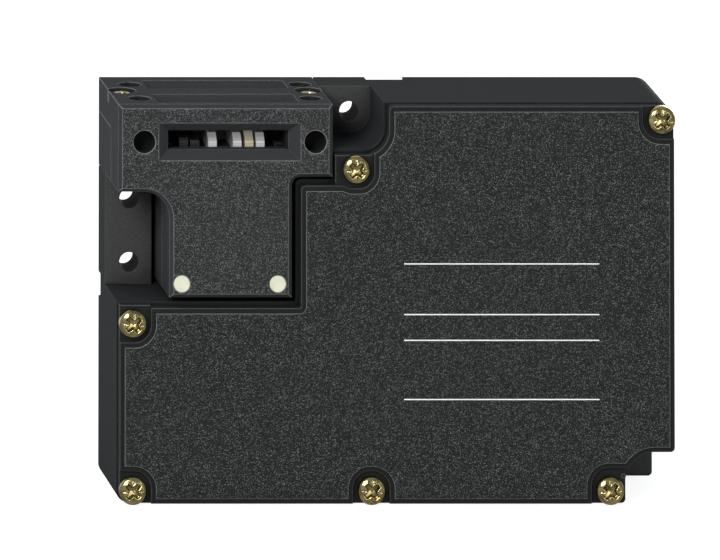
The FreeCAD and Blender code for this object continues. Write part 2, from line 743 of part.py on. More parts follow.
COVER_LEFT = LEFT + " + cover_inset"
COVER_RIGHT = RIGHT + " - cover_inset"
COVER_TOP = TOP + " - cover_inset"
COVER_STEM = SHAFT_RIGHT + " + recess_inset"
COVER_FOOT = RECESS_FOOT + " - recess_inset"
COVER_SHOULDER = RECESS_SHOULDER + " - recess_inset"
COVER_POCKET = POCKET_RIGHT + " + recess_inset"
LAND_LEFT = SCREW_LEFT + " + land_reach"
LAND_POCKET = SCREW_POCKET + " + land_reach"
field_outline = [
    (LAND_LEFT, "cover_inset"),
    (SCREW_BOTTOM + " - land_reach", "cover_inset"),
    (SCREW_BOTTOM + " - land_reach", "screw_edge + land_reach", "land_radius"),
    (SCREW_BOTTOM + " + land_reach", "screw_edge + land_reach", "land_radius"),
    (SCREW_BOTTOM + " + land_reach", "cover_inset"),
    (SCREW_STEP + " - land_reach", "cover_inset"),
    (SCREW_STEP + " - land_reach", "step_low + cover_inset", "land_radius"),
    (STEP_X + " + cover_inset", "step_low + cover_inset", None, "step_sweep"),
    (STEP_END, "step_high + cover_inset"),
    (COVER_RIGHT, "step_high + cover_inset", "edge_radius"),
    (COVER_RIGHT, SCREW_TOP_Z + " - land_reach"),
    (SCREW_RIGHT + " - land_reach", SCREW_TOP_Z + " - land_reach", "land_radius"),
    (SCREW_RIGHT + " - land_reach", COVER_TOP),
    (COVER_POCKET, COVER_TOP, "edge_radius"),
    (COVER_POCKET, POCKET_FOOT + " + pocket_radius", None, "pocket_radius + recess_inset"),
    (LAND_POCKET, POCKET_FOOT + " - recess_inset / 4"),
    (LAND_POCKET, SCREW_POCKET_Z + " - land_reach", "land_radius - 0.4"),
    (SCREW_POCKET + " - land_reach * 0.3", SCREW_POCKET_Z + " - land_reach"),
    (SCREW_POCKET + " - land_reach * 0.7", COVER_SHOULDER),
    (COVER_STEM, COVER_SHOULDER, "edge_radius"),
    (COVER_STEM, COVER_FOOT, "edge_radius / 2"),
    (LAND_LEFT, COVER_FOOT),
    (LAND_LEFT, SCREW_SIDE_Z + " - land_reach", "land_radius"),
    (COVER_LEFT, SCREW_SIDE_Z + " - land_reach"),
    (COVER_LEFT, "screw_edge + land_reach"),
    (LAND_LEFT, "screw_edge + land_reach", "land_radius"),
]
lug_outline = [
    (COVER_LEFT, "cover_inset", "corner_radius"),
    (STEP_X + " - cover_inset", "cover_inset", "edge_radius"),
    (STEP_X + " - cover_inset", "step_low + cover_inset"),
    (STEP_X + " + cover_inset", "step_low + cover_inset", None, "step_sweep"),
    (STEP_END, "step_high + cover_inset"),
    (COVER_RIGHT, "step_high + cover_inset", "edge_radius"),
    (COVER_RIGHT, COVER_TOP, "top_corner_radius"),
    (COVER_POCKET, COVER_TOP, "edge_radius"),
    (COVER_POCKET, POCKET_FOOT + " + pocket_radius", None, "pocket_radius + recess_inset"),
    (LAND_POCKET, POCKET_FOOT + " - recess_inset / 4"),
    (LAND_POCKET + " - 1", POCKET_FOOT + " - recess_inset"),
    (RECESS_RIGHT + " + cover_inset", POCKET_FOOT + " - recess_inset"),
    (RECESS_RIGHT + " + cover_inset", COVER_SHOULDER),
    (COVER_STEM, COVER_SHOULDER, "edge_radius"),
    (COVER_STEM, COVER_FOOT, "edge_radius / 2"),
    (LAND_LEFT, COVER_FOOT),
    (LAND_LEFT, RECESS_FOOT + " - cover_inset"),
    (COVER_LEFT, RECESS_FOOT + " - cover_inset"),
]
cover_solid = fuse("cover_solid", [
    plate("cover_lugs", "land_depth", "cover_thickness", lug_outline),
    plate("cover_plate", "cover_step", "cover_thickness", field_outline),
    plate("cover_field", "0", "cover_thickness", field_outline, "cover_rim"),
])
cover_cuts = [plate("cover_hollow", "cover_skin", "cover_thickness + 1", field_outline, "cover_ledge")]
for number, (x, z) in enumerate(SCREWS, start=1):
    cover_cuts.append(rod(f"cover_hole_{number}", "Y", "screw_shank / 2 + screw_clearance * 2",
                          "cover_thickness + 2", x, "-1", z))
node("front_cover", cut("front_cover", cover_solid, cover_cuts))

node("cover_gasket", cut("cover_gasket",
     plate("gasket_outer", "cover_thickness", CASE_FRONT, field_outline, "gasket_inset"),
     [plate("gasket_inner", "cover_thickness - 1", CASE_FRONT + " + 1", field_outline,
            "gasket_inset + gasket_width")]))


def pan_screw(name, along, head, height, shank, length, x, depth, z):
    """A pan-head screw with a cross recess; the point given is on top of its head, in depth or height."""
    up = along == "Z"
    seat_depth = depth if up else f"({depth}) + {height}"
    seat_z = f"({z}) - {height}" if up else z
    top = rod(name + "_head", along, head + " / 2", height, x, depth, seat_z)
    rounded = doc.addObject("Part::Fillet", name + "_rounded")
    rounded.Base = top
    doc.recompute()
    face = value(z) if up else value(deep(depth))
    radius = value("screw_head_round")
    rim = []
    for number, edge in enumerate(top.Shape.Edges, start=1):
        box = edge.BoundBox
        low, high = (box.ZMin, box.ZMax) if up else (box.YMin, box.YMax)
        if abs(low - face) < 1e-6 and abs(high - face) < 1e-6:
            rim.append((number, radius, radius))
    rounded.Edges = rim
    stem_z = f"({seat_z}) - {length}" if up else z
    stem = rod(name + "_shank", along, shank + " / 2", length, x, seat_depth, stem_z)
    body = fuse(name + "_body", [rounded, stem])
    half = "recess_slot / 2"
    reach = "recess_length / 2"
    arms = []
    for arm, (wide, tall) in enumerate(((reach, half), (half, reach)), start=1):
        if up:
            spans = ((f"{depth} - {tall}", f"{depth} + {tall}"), (f"({z}) - recess_depth", f"({z}) + 1"))
        else:
            spans = ((f"({depth}) - 1", f"({depth}) + recess_depth"), (f"{z} - {tall}", f"{z} + {tall}"))
        arms.append(block(f"{name}_arm_{arm}", (f"{x} - {wide}", f"{x} + {wide}"), *spans))
    return cut(name, body, arms)


HEAD_OUT = "land_depth - screw_head_height"
node("cover_screws", group("cover_screws", [
    pan_screw(f"cover_screw_{number}", "Y", "screw_head", "screw_head_height", "screw_shank",
              "screw_length", x, HEAD_OUT, z)
    for number, (x, z) in enumerate(SCREWS, start=1)
]))


# Actuating head: a T-shaped front and top shell over a rear block

front_shell = doc.addObject("PartDesign::Body", "front_shell")
head_front = pad(front_shell, "shell_front", "head_front", "head_parting", [
    (STEM_LEFT, "stem_foot"),
    (STEM_RIGHT, "stem_foot"),
    (STEM_RIGHT, SHOULDER_RIGHT, "shoulder_bend"),
    (HEAD_RIGHT, SHOULDER_RIGHT),
    (HEAD_RIGHT, TOP),
    (LEFT, TOP),
    (LEFT, SHOULDER_LEFT),
    (STEM_LEFT, SHOULDER_LEFT, "shoulder_curve"),
])
bevel(front_shell, "shell_bevel", head_front, "head_front", "head_bevel")
pad(front_shell, "shell_top", "head_parting", "case_depth", [
    (LEFT, CAP_FOOT),
    (HEAD_RIGHT, CAP_FOOT),
    (HEAD_RIGHT, TOP),
    (LEFT, TOP),
])

rear_block = doc.addObject("PartDesign::Body", "rear_block")
wings = [
    (STEM_LEFT, "stem_foot"),
    (STEM_RIGHT, "stem_foot"),
    (STEM_RIGHT, SHOULDER_RIGHT, "shoulder_bend"),
    (HEAD_RIGHT, SHOULDER_RIGHT),
    (HEAD_RIGHT, CAP_FOOT),
    (LEFT, CAP_FOOT),
    (LEFT, SHOULDER_LEFT),
]
FLANGE_FACE = "flange_depth - head_gap"
pad(rear_block, "block_front", "head_parting", FLANGE_FACE,
    wings + [(STEM_LEFT, SHOULDER_LEFT, "shoulder_curve")])
pad(rear_block, "block_middle", FLANGE_FACE, FLOOR + " - head_gap",
    wings + [(STEM_LEFT, SHOULDER_LEFT)])
pad(rear_block, "block_rear", FLOOR + " - head_gap", "case_depth", [
    (LEFT, SHOULDER_LEFT),
    (STEM_RIGHT, SHOULDER_LEFT),
    (STEM_RIGHT, SHOULDER_RIGHT),
    (HEAD_RIGHT, SHOULDER_RIGHT),
    (HEAD_RIGHT, CAP_FOOT),
    (LEFT, CAP_FOOT),
])


def funnel(name, turn, x, depth, z):
    """The bevelled mouth of a tongue slot, widest at the point given, narrowing inwards."""
    part = doc.addObject("Part::Wedge", name)
    part.Placement = Placement(Vector(), turn)
    spans = {
        "Xmin": "-funnel_rim_width / 2", "Xmax": "funnel_rim_width / 2",
        "Zmin": "-funnel_rim_height / 2", "Zmax": "funnel_rim_height / 2",
        "X2min": "-slot_width / 2", "X2max": "slot_width / 2",
        "Z2min": "-slot_height / 2", "Z2max": "slot_height / 2",
        "Ymin": "0", "Ymax": "funnel_depth",
    }
    for key, text in spans.items():
        part.setExpression(key, tie(text))
    for axis, text in zip("xyz", (x, deep(depth), z)):
        part.setExpression("Placement.Base." + axis, tie(text))
    return part


SLOT_X = (HEAD_MID + " - slot_width / 2", HEAD_MID + " + slot_width / 2")
SLOT_Z = CAM_Z + " + front_slot_offset"


def head_cuts(name):
    """What runs through both pieces of the head: tongue channels, cam chamber, slide channel, pins."""
    cuts = [
        block(name + "_front_channel", SLOT_X, ("head_front - 1", "channel_end"),
              (SLOT_Z + " - slot_height / 2", SLOT_Z + " + slot_height / 2")),
        rod(name + "_chamber", "X", "cam_radius + chamber_gap", "cam_width + 1",
            HEAD_MID + " - cam_width / 2 - 0.5", "cam_depth", CAM_Z),
        block(name + "_slide_channel", (SLIDE_LEFT + " - slide_gap", SLIDE_RIGHT + " + slide_gap"),
              (SLIDE_FRONT + " - slide_gap", SLIDE_BACK + " + slide_gap"),
              ("stem_foot - 1", CAM_Z + " - cam_radius + 2")),
    ]
    for place, sign in (("front", " - "), ("rear", " + ")):
        middle = "cam_depth" + sign + "slot_offset"
        cuts.append(block(f"{name}_{place}_channel_top", SLOT_X,
                          (middle + " - slot_height / 2", middle + " + slot_height / 2"),
                          (CAM_Z + " - channel_drop", TOP + " + 1")))
    for number, (x, z) in enumerate(PINS, start=1):
        cuts.append(rod(f"{name}_pin_{number}", "Y", pin_hole, "case_depth", x, "head_front - 1", z))
    return cuts


shell_cuts = head_cuts("shell")
shell_cuts.append(funnel("front_funnel", Rotation(), HEAD_MID, "head_front", SLOT_Z))
for place, sign in (("front", " - "), ("rear", " + ")):
    middle = "cam_depth" + sign + "slot_offset"
    shell_cuts.append(funnel(f"{place}_top_funnel", Rotation(Vector(1, 0, 0), -90), HEAD_MID, middle, TOP))
    for side in (" - ", " + "):
        shell_cuts.append(rod(f"{place}_guide{'_left' if side == ' - ' else '_right'}", "Z", "guide_hole / 2",
                              "top_guide_depth + 1", HEAD_MID + side + "guide_hole_pitch / 2", middle,
                              TOP + " - top_guide_depth"))
for number, side in enumerate((" - ", " + "), start=1):
    shell_cuts.append(rod(f"face_guide_{number}", "Y", "guide_hole / 2", "guide_hole_depth + 1",
                          HEAD_MID + side + "guide_hole_pitch / 2", "head_front - 1", SLOT_Z))
for number, x in enumerate(HEAD_SCREWS, start=1):
    shell_cuts.append(rod(f"head_screw_seat_{number}", "Z", "head_screw_head / 2 + screw_clearance * 4",
                          "head_screw_sink + 1", x, "head_screw_depth", TOP + " - head_screw_sink"))
    shell_cuts.append(rod(f"head_screw_hole_{number}", "Z", "head_screw_shank / 2 + screw_clearance",
                          "case_height", x, "head_screw_depth", CAP_FOOT + " - 1"))
node("head_housing", cut("head_housing", front_shell, shell_cuts))

block_cuts = head_cuts("block")
block_cuts.append(rod("axle_bore", "X", "axle_diameter / 2 + running_gap / 2", "axle_length",
                      HEAD_MID + " - axle_length / 2", "cam_depth", CAM_Z))
for number, x in enumerate(HEAD_SCREWS, start=1):
    block_cuts.append(rod(f"block_screw_hole_{number}", "Z", "head_screw_shank / 2 + running_gap",
                          "head_screw_length", x, "head_screw_depth",
                          TOP + " - head_screw_sink - head_screw_length - 0.5"))
node("head_base", cut("head_base", rear_block, block_cuts))

HEAD_SCREW_TOP = TOP + " - head_screw_sink + head_screw_height"
node("head_screws", group("head_screws", [
    pan_screw(f"head_screw_{number}", "Z", "head_screw_head", "head_screw_height", "head_screw_shank",
              "head_screw_length", x, "head_screw_depth", HEAD_SCREW_TOP)
    for number, x in enumerate(HEAD_SCREWS, start=1)
]))
node("retaining_pins", group("retaining_pins", [
    rod(f"retaining_pin_{number}", "Y", "pin_diameter / 2", FLOOR + " + pin_seat - 0.1 - head_front",
        x, "head_front", z)
    for number, (x, z) in enumerate(PINS, start=1)
]))


# Cam: a moulded rotor on a steel axle, with steel coding discs let into its mouth

CAM_LEFT = HEAD_MID + " - cam_width / 2"
CAM_RIGHT = HEAD_MID + " + cam_width / 2"
DISCS = {
    "coding_disc_1": (-9.7, "finger_top - 1"),
    "coding_disc_2": (-7.1, "finger_top - 1.4"),
    "coding_disc_3": (-3.0, "finger_top"),
    "coding_disc_4": (2.8, "finger_top"),
    "coding_disc_5": (5.6, "tall_finger_top"),
    "coding_disc_6": (8.2, "finger_top"),
}
OVER_SLIDE = ("coding_disc_3", "coding_disc_4", "coding_disc_5")
node("cam_axle", rod("cam_axle", "X", "axle_diameter / 2", "axle_length - running_gap * 2",
                     HEAD_MID + " - axle_length / 2 + running_gap", "cam_depth", CAM_Z))


def cam_level(text):
    return CAM_Z + " + " + text


def spiral_recess():
    """The falling flank under the rotor. The slide's round tip stays on it, so its path, a spiral
    that falls evenly with the turn, is moved inwards by the tip's radius and clearance."""
    offset = value("tip_radius + tip_clearance")
    start = value("tip_start") + offset
    fall = value("slide_travel") / math.radians(value("cam_turn"))
    lead, trail = -12, 78
    flank = []
    for degrees in range(lead, trail + 1, 10):
        turn = math.radians(degrees)
        angle = turn - math.pi / 2
        reach = start - fall * turn
        along = Vector(0, -fall * math.cos(angle) - reach * math.sin(angle),
                       -fall * math.sin(angle) + reach * math.cos(angle))
        outwards = Vector(0, along.z, -along.y).normalize()
        path = Vector(0, reach * math.cos(angle), reach * math.sin(angle))
        flank.append(path - outwards * offset)
    curve = Part.BSplineCurve()
    curve.interpolate(flank)
    clear = value("cam_radius") + 3

    def rim(degrees):
        angle = math.radians(degrees - 90)
        return Vector(0, clear * math.cos(angle), clear * math.sin(angle))

    edges = [
        curve.toShape(),
        Part.makeLine(flank[-1], rim(trail)),
        Part.Arc(rim(trail), rim((trail + lead) / 2), rim(lead)).toShape(),
        Part.makeLine(rim(lead), flank[0]),
    ]
    width = value("slide_width + 2 * slide_gap")
    solid = Part.Face(Part.Wire(edges)).extrude(Vector(width, 0, 0))
    solid.translate(Vector(value(HEAD_MID) - width / 2, value(deep("cam_depth")), value(CAM_Z)))
    return shape("spiral_recess", solid)


spiral = spiral_recess()
rotor_cuts = [
    spiral,
    rod("rotor_bore", "X", "axle_diameter / 2 + running_gap", "cam_width + 2", CAM_LEFT + " - 1",
        "cam_depth", CAM_Z),
    block("rotor_mouth", (CAM_LEFT + " - 1", CAM_RIGHT + " + 1"),
          ("cam_depth - cam_radius - 1", "cam_depth + mouth_wall"),
          (cam_level("mouth_floor"), cam_level("cam_radius + 1"))),
]
for name, (offset, finger) in DISCS.items():
    middle = f"{HEAD_MID} + {offset}"
    half = "(disc_thickness / 2 + disc_gap)"
    rotor_cuts.append(block(name + "_seat", (f"{middle} - {half}", f"{middle} + {half}"),
                            ("cam_depth - cam_radius - 1", "cam_depth + cam_radius + 1"),
                            (cam_level("-disc_foot - disc_gap"), cam_level("cam_radius + 1"))))
rotor = rod("rotor_blank", "X", "cam_radius", "cam_width", CAM_LEFT, "cam_depth", CAM_Z)
node("cam_rotor", cut("cam_rotor", rotor, rotor_cuts))

for name, (offset, finger) in DISCS.items():
    left = f"{HEAD_MID} + {offset} - disc_thickness / 2"
    right = f"{HEAD_MID} + {offset} + disc_thickness / 2"
    blank = rod(name + "_blank", "X", "disc_radius", "disc_thickness", left, "cam_depth", CAM_Z)
    node(name, cut(name, blank, ([spiral] if name in OVER_SLIDE else []) + [
        rod(name + "_bore", "X", "axle_diameter / 2 + running_gap", "disc_thickness + 2", left + " - 1",
            "cam_depth", CAM_Z),
        block(name + "_foot", (left + " - 1", right + " + 1"),
              ("cam_depth - disc_radius - 1", "cam_depth + disc_radius + 1"),
              (cam_level("-disc_radius - 1"), cam_level("-disc_foot"))),
        block(name + "_front", (left + " - 1", right + " + 1"),
              ("cam_depth - disc_radius - 1", "cam_depth - disc_front"),
              (cam_level("-disc_radius"), cam_level("disc_radius"))),
        block(name + "_finger", (left + " - 1", right + " + 1"),
              ("cam_depth - disc_radius - 1", "cam_depth + mouth_wall"),
              (cam_level(finger), cam_level("disc_radius + 1"))),
    ]))


# Switching slide: follows the cam, carries two contact bridges, and is held by the lock bolt

slide = doc.addObject("PartDesign::Body", "slide_body")
HALF = "slide_depth / 2"
MIDDLE = deep("cam_depth")
slide_outline = [
    (MIDDLE + " - " + HALF, "slide_foot"),
    (MIDDLE + " + " + HALF, "slide_foot"),
    (MIDDLE + " + " + HALF, TIP_TOP + " - tip_taper"),
    (MIDDLE + " + tip_radius", TIP_TOP + " - tip_neck"),
    (MIDDLE + " + tip_radius", TIP_TOP, "tip_radius - running_gap"),
    (MIDDLE + " - tip_radius", TIP_TOP, "tip_radius - running_gap"),
    (MIDDLE + " - tip_radius", TIP_TOP + " - tip_neck"),
    (MIDDLE + " - " + HALF, TIP_TOP + " - tip_taper"),
]
slide_sketch = body_sketch(slide, "slide_sketch", "YZ_Plane", HEAD_MID, slide_outline)
slide_pad = slide.newObject("PartDesign::Pad", "slide_pad")
slide_pad.Profile = slide_sketch
slide_pad.Midplane = True
slide_pad.setExpression("Length", tie("slide_width"))
doc.recompute()

lug = block("lock_lug", (SLIDE_RIGHT + " - 1", SLIDE_RIGHT + " + lug_reach"), (SLIDE_FRONT, SLIDE_BACK),
            (NOSE_FOOT + " - bolt_gap - lug_thickness", NOSE_FOOT + " - bolt_gap"))
BLOCK_FOOT = "screw_edge + boss_reach + block_gap"
BLOCK_TOP = SCREW_SIDE_Z + " - boss_reach - block_gap"
BLOCK_FACE = SLIDE_BACK + " + block_back_gap"
BRIDGES = {
    "upper": BLOCK_TOP + " - upper_bridge_drop",
    "lower": BLOCK_TOP + " - upper_bridge_drop - bridge_pitch",
}
BRIDGE_FRONT = "cam_depth - bridge_depth / 2"
BRIDGE_BACK = "cam_depth + bridge_depth / 2"
slide_cuts = [rod("post_bore", "Z", "post_diameter / 2 + running_gap * 2", "post_bore_depth + 1",
                  HEAD_MID, "cam_depth", "slide_foot - 1")]
for name, foot in BRIDGES.items():
    top = foot + " + bridge_thickness"
    slide_cuts.append(block(name + "_window", (SLIDE_LEFT + " - 1", SLIDE_RIGHT + " + 1"),
                            (BRIDGE_FRONT + " - window_gap", BRIDGE_BACK + " + window_gap"),
                            (top + " - window_height", top)))
node("switch_slide", cut("switch_slide", fuse("slide_solid", [slide, lug]), slide_cuts))
node("slide_spring", coil("slide_spring", "Z", "slide_spring_diameter", "wall", "slide_foot", 4,
                          HEAD_MID, "cam_depth", "0"))

bridge_springs = []
for name, foot in BRIDGES.items():
    top = foot + " + bridge_thickness"
    strip = block(name + "_strip", (HEAD_MID + " - bridge_length / 2", HEAD_MID + " + bridge_length / 2"),
                  (BRIDGE_FRONT, BRIDGE_BACK), (foot, top))
    tips = []
    for end in (" - ", " + "):
        inner = HEAD_MID + end + "(bridge_length / 2 - contact_tip_width)"
        outer = HEAD_MID + end + "bridge_length / 2"
        span = (outer, inner) if end == " - " else (inner, outer)
        tips.append(block(name + "_tip" + ("_left" if end == " - " else "_right"), span,
                          (BRIDGE_FRONT, BRIDGE_BACK), (top, top + " + bridge_tip")))
    node(name + "_contact_bridge", fuse(name + "_contact_bridge", [strip] + tips))
    bridge_springs.append(coil(name + "_bridge_spring", "Z", "small_spring_diameter",
                               top + " - window_height", foot, 4, HEAD_MID, "cam_depth", "0"))
node("bridge_springs", group("bridge_springs", bridge_springs))


# Contact block round the slide, with two fixed contacts for each bridge

BLOCK_LEFT = HEAD_MID + " - block_width / 2"
BLOCK_RIGHT = HEAD_MID + " + block_width / 2"
block_solid = fuse("contact_block_solid", [
    block("contact_block_base", (BLOCK_LEFT, BLOCK_RIGHT), (BLOCK_FACE, FLOOR), (BLOCK_FOOT, BLOCK_TOP)),
    block("contact_post_left", (BLOCK_LEFT, BLOCK_LEFT + " + block_post"),
          ("cam_depth - block_post_reach", BLOCK_FACE + " + 1"), (BLOCK_FOOT, BLOCK_TOP)),
    block("contact_post_right", (BLOCK_RIGHT + " - block_post", BLOCK_RIGHT),
          ("cam_depth - block_post_reach", BLOCK_FACE + " + 1"), (BLOCK_FOOT, BLOCK_TOP)),
])
contacts = []
contact_seats = []
for name, foot in BRIDGES.items():
    low = foot + " + bridge_thickness + bridge_tip + slide_travel + contact_gap"
    high = low + " + contact_thickness"
    for end in ("left", "right"):
        if end == "left":
            span = (BLOCK_LEFT + " + 1", BLOCK_LEFT + " + 1 + contact_reach")
        else:
            span = (BLOCK_RIGHT + " - 1 - contact_reach", BLOCK_RIGHT + " - 1")
        title = f"{name}_{end}_contact"
        contacts.append(block(title, span, (BRIDGE_FRONT + " - 1", BRIDGE_BACK + " + 1"), (low, high)))
        contact_seats.append(block(title + "_seat", span, (BRIDGE_FRONT + " - 1", BRIDGE_BACK + " + 1"),
                                   (low, high)))
node("tongue_contact_block", cut("tongue_contact_block", block_solid, contact_seats))
node("tongue_fixed_contacts", group("tongue_fixed_contacts", contacts))


# Lock bolt and solenoid, on one axis along the case

NOSE_TIP = SLIDE_RIGHT + " + lug_reach + bolt_gap"
CORE_RIGHT = YOKE_LEFT + " + core_length"
PLUNGER_LEFT = CORE_RIGHT + " + bolt_travel + core_air_gap"
PLUNGER_RIGHT = YOKE_RIGHT + " - plunger_stop_gap"
AXIS = ("cam_depth", BOLT_Z)
nose = block("bolt_nose_plate", (NOSE_TIP, NOSE_TIP + " + bolt_nose_length"),
             ("cam_depth - bolt_nose_depth / 2", "cam_depth + bolt_nose_depth / 2"), (NOSE_FOOT, NOSE_TOP))
bolt_rod_left = NOSE_TIP + " + bolt_nose_length - 1"
bolt_rod = rod("bolt_rod_bar", "X", "bolt_rod / 2", f"{PLUNGER_LEFT} - ({bolt_rod_left})", bolt_rod_left, *AXIS)
node("lock_bolt", fuse("lock_bolt", [nose, bolt_rod]))
plunger_bar = rod("plunger_bar", "X", "plunger_diameter / 2", f"{PLUNGER_RIGHT} - ({PLUNGER_LEFT})",
                  PLUNGER_LEFT, *AXIS)
rear_bar = rod("rear_bar", "X", "rear_rod / 2", f"{ROD_END} - ({PLUNGER_RIGHT}) + 1",
               PLUNGER_RIGHT + " - 1", *AXIS)
CLIP_RIGHT = ROD_END + " - clip_inset"
CLIP_LEFT = CLIP_RIGHT + " - clip_thickness"
clip_groove = cut("clip_groove", rod("groove_outer", "X", "rear_rod / 2 + 1", "clip_thickness", CLIP_LEFT, *AXIS),
                  [rod("groove_inner", "X", "rear_rod / 2 - 0.4", "clip_thickness + 2", CLIP_LEFT + " - 1", *AXIS)])
node("solenoid_plunger", cut("solenoid_plunger", fuse("plunger_solid", [plunger_bar, rear_bar]), [clip_groove]))
node("plunger_clip", cut("plunger_clip",
     rod("clip_blank", "X", "clip_diameter / 2", "clip_thickness", CLIP_LEFT, *AXIS), [
         rod("clip_bore", "X", "rear_rod / 2 - 0.4 + running_gap", "clip_thickness + 2", CLIP_LEFT + " - 1", *AXIS),
         block("clip_mouth", (CLIP_LEFT + " - 1", CLIP_RIGHT + " + 1"),
               ("cam_depth - rear_rod / 2 + 0.4 - running_gap", "cam_depth + rear_rod / 2 - 0.4 + running_gap"),
               (BOLT_Z, BOLT_Z + " + clip_diameter")),
     ]))
node("return_spring", coil("return_spring", "X", "return_spring_diameter", YOKE_RIGHT, CLIP_LEFT, 6, "0", *AXIS))

node("solenoid_yoke", cut("solenoid_yoke",
     block("yoke_blank", (YOKE_LEFT, YOKE_RIGHT), (YOKE_FRONT, YOKE_BACK), (YOKE_FOOT, YOKE_TOP)), [
         block("yoke_inside", (YOKE_LEFT + " + yoke_thickness", YOKE_RIGHT + " - yoke_thickness"),
               (YOKE_FRONT + " - 1", YOKE_BACK + " + 1"),
               (YOKE_FOOT + " + yoke_thickness", YOKE_TOP + " - yoke_thickness")),
         rod("yoke_core_hole", "X", "plunger_diameter / 2 + running_gap", "yoke_thickness + 2",
             YOKE_LEFT + " - 1", *AXIS),
         rod("yoke_rod_hole", "X", "rear_rod / 2 + running_gap * 3", "yoke_thickness + 2",
             YOKE_RIGHT + " - yoke_thickness - 1", *AXIS),
     ]))
node("pole_core", cut("pole_core",
     rod("core_blank", "X", "plunger_diameter / 2", "core_length", YOKE_LEFT, *AXIS),
     [rod("core_bore", "X", "bolt_rod / 2 + running_gap", "core_length + 2", YOKE_LEFT + " - 1", *AXIS)]))
BOBBIN_LEFT = YOKE_LEFT + " + yoke_thickness"
BOBBIN_LENGTH = f"({YOKE_RIGHT}) - ({YOKE_LEFT}) - 2 * yoke_thickness"
bobbin_solid = fuse("bobbin_solid", [
    rod("bobbin_tube", "X", "bobbin_bore / 2 + bobbin_wall", BOBBIN_LENGTH, BOBBIN_LEFT, *AXIS),
    rod("bobbin_left_flange", "X", "bobbin_flange / 2", "bobbin_flange_thickness", BOBBIN_LEFT, *AXIS),
    rod("bobbin_right_flange", "X", "bobbin_flange / 2", "bobbin_flange_thickness",
        YOKE_RIGHT + " - yoke_thickness - bobbin_flange_thickness", *AXIS),
])
node("solenoid_bobbin", cut("solenoid_bobbin", bobbin_solid,
     [rod("bobbin_bore_bar", "X", "bobbin_bore / 2", BOBBIN_LENGTH + " + 2", BOBBIN_LEFT + " - 1", *AXIS)]))
WINDING_LEFT = BOBBIN_LEFT + " + bobbin_flange_thickness"
WINDING_LENGTH = BOBBIN_LENGTH + " - 2 * bobbin_flange_thickness"
node("coil_winding", cut("coil_winding",
     rod("winding_blank", "X", "winding_diameter / 2", WINDING_LENGTH, WINDING_LEFT, *AXIS),
     [rod("winding_bore", "X", "bobbin_bore / 2 + bobbin_wall + running_gap", WINDING_LENGTH + " + 2",
          WINDING_LEFT + " - 1", *AXIS)]))


# Monitoring contact, worked by the rear end of the plunger

MONITOR_RIGHT = RIGHT + " - wall"
MONITOR_FOOT = BOLT_Z + " - monitor_height / 2"
MONITOR_TOP = BOLT_Z + " + monitor_height / 2"
MONITOR_FRONT = "cam_depth - monitor_depth / 2"
MONITOR_LEFT = MONITOR_RIGHT + " - monitor_length"
TAPPET_LEFT = RIGHT + " - wall - tappet_to_wall"
TAPPET_RIGHT = TAPPET_LEFT + " + tappet_body"
nose_left = ROD_END + " + tappet_gap"
tappet_solid = fuse("tappet_solid", [
    rod("tappet_nose_bar", "X", "tappet_nose / 2", f"{TAPPET_LEFT} - ({nose_left}) + 1", nose_left, *AXIS),
    block("tappet_block", (TAPPET_LEFT, TAPPET_RIGHT),
          ("cam_depth - tappet_size / 2", "cam_depth + tappet_size / 2"),
          (BOLT_Z + " - tappet_size / 2", BOLT_Z + " + tappet_size / 2")),
])
strip_left = TAPPET_LEFT + " + tappet_body / 2 - bridge_thickness / 2"
strip_right = TAPPET_LEFT + " + tappet_body / 2 + bridge_thickness / 2"
strip_depth = ("cam_depth - monitor_bridge_depth / 2", "cam_depth + monitor_bridge_depth / 2")
strip_height = (BOLT_Z + " - monitor_bridge_length / 2", BOLT_Z + " + monitor_bridge_length / 2")
node("monitor_tappet", cut("monitor_tappet", tappet_solid,
     [block("tappet_window", (strip_left, strip_right), strip_depth, strip_height)]))
monitor_tips = []
for name, low, high in (
    ("lower", strip_height[0], strip_height[0] + " + contact_tip_width"),
    ("upper", strip_height[1] + " - contact_tip_width", strip_height[1]),
):
    monitor_tips.append(block(f"monitor_{name}_tip", (strip_left + " - bridge_tip", strip_left), strip_depth,
                              (low, high)))
node("monitor_bridge", fuse("monitor_bridge",
     [block("monitor_strip", (strip_left, strip_right), strip_depth, strip_height)] + monitor_tips))
node("tappet_spring", coil("tappet_spring", "X", "small_spring_diameter", TAPPET_RIGHT,
                           MONITOR_RIGHT, 4, "0", *AXIS))
FIXED_RIGHT = strip_left + " - bridge_tip - bolt_travel - contact_gap"
FIXED_LEFT = MONITOR_LEFT + " + monitor_plate"
monitor_contacts = []
for name, low, high in (
    ("lower", strip_height[0] + " - contact_margin", strip_height[0] + " + contact_tip_width + contact_margin"),
    ("upper", strip_height[1] + " - contact_tip_width - contact_margin", strip_height[1] + " + contact_margin"),
):
    monitor_contacts.append(block(f"monitor_{name}_contact", (FIXED_LEFT, FIXED_RIGHT),
                                  ("cam_depth - monitor_bridge_depth", "cam_depth + monitor_bridge_depth"), (low, high)))
node("monitor_fixed_contacts", group("monitor_fixed_contacts", monitor_contacts))
monitor_solid = fuse("monitor_solid", [
    block("monitor_face", (MONITOR_LEFT, FIXED_LEFT), (MONITOR_FRONT, FLOOR), (MONITOR_FOOT, MONITOR_TOP)),
    block("monitor_lower_wall", (MONITOR_LEFT, MONITOR_RIGHT), (MONITOR_FRONT, FLOOR),
          (MONITOR_FOOT, MONITOR_FOOT + " + monitor_plate")),
    block("monitor_upper_wall", (MONITOR_LEFT, MONITOR_RIGHT), (MONITOR_FRONT, FLOOR),
          (MONITOR_TOP + " - monitor_plate", MONITOR_TOP)),
])
node("monitor_contact_block", cut("monitor_contact_block", monitor_solid,
     [rod("tappet_hole", "X", "tappet_nose / 2 + running_gap * 2", "monitor_plate + 2", MONITOR_LEFT + " - 1", *AXIS)]))


# Terminals

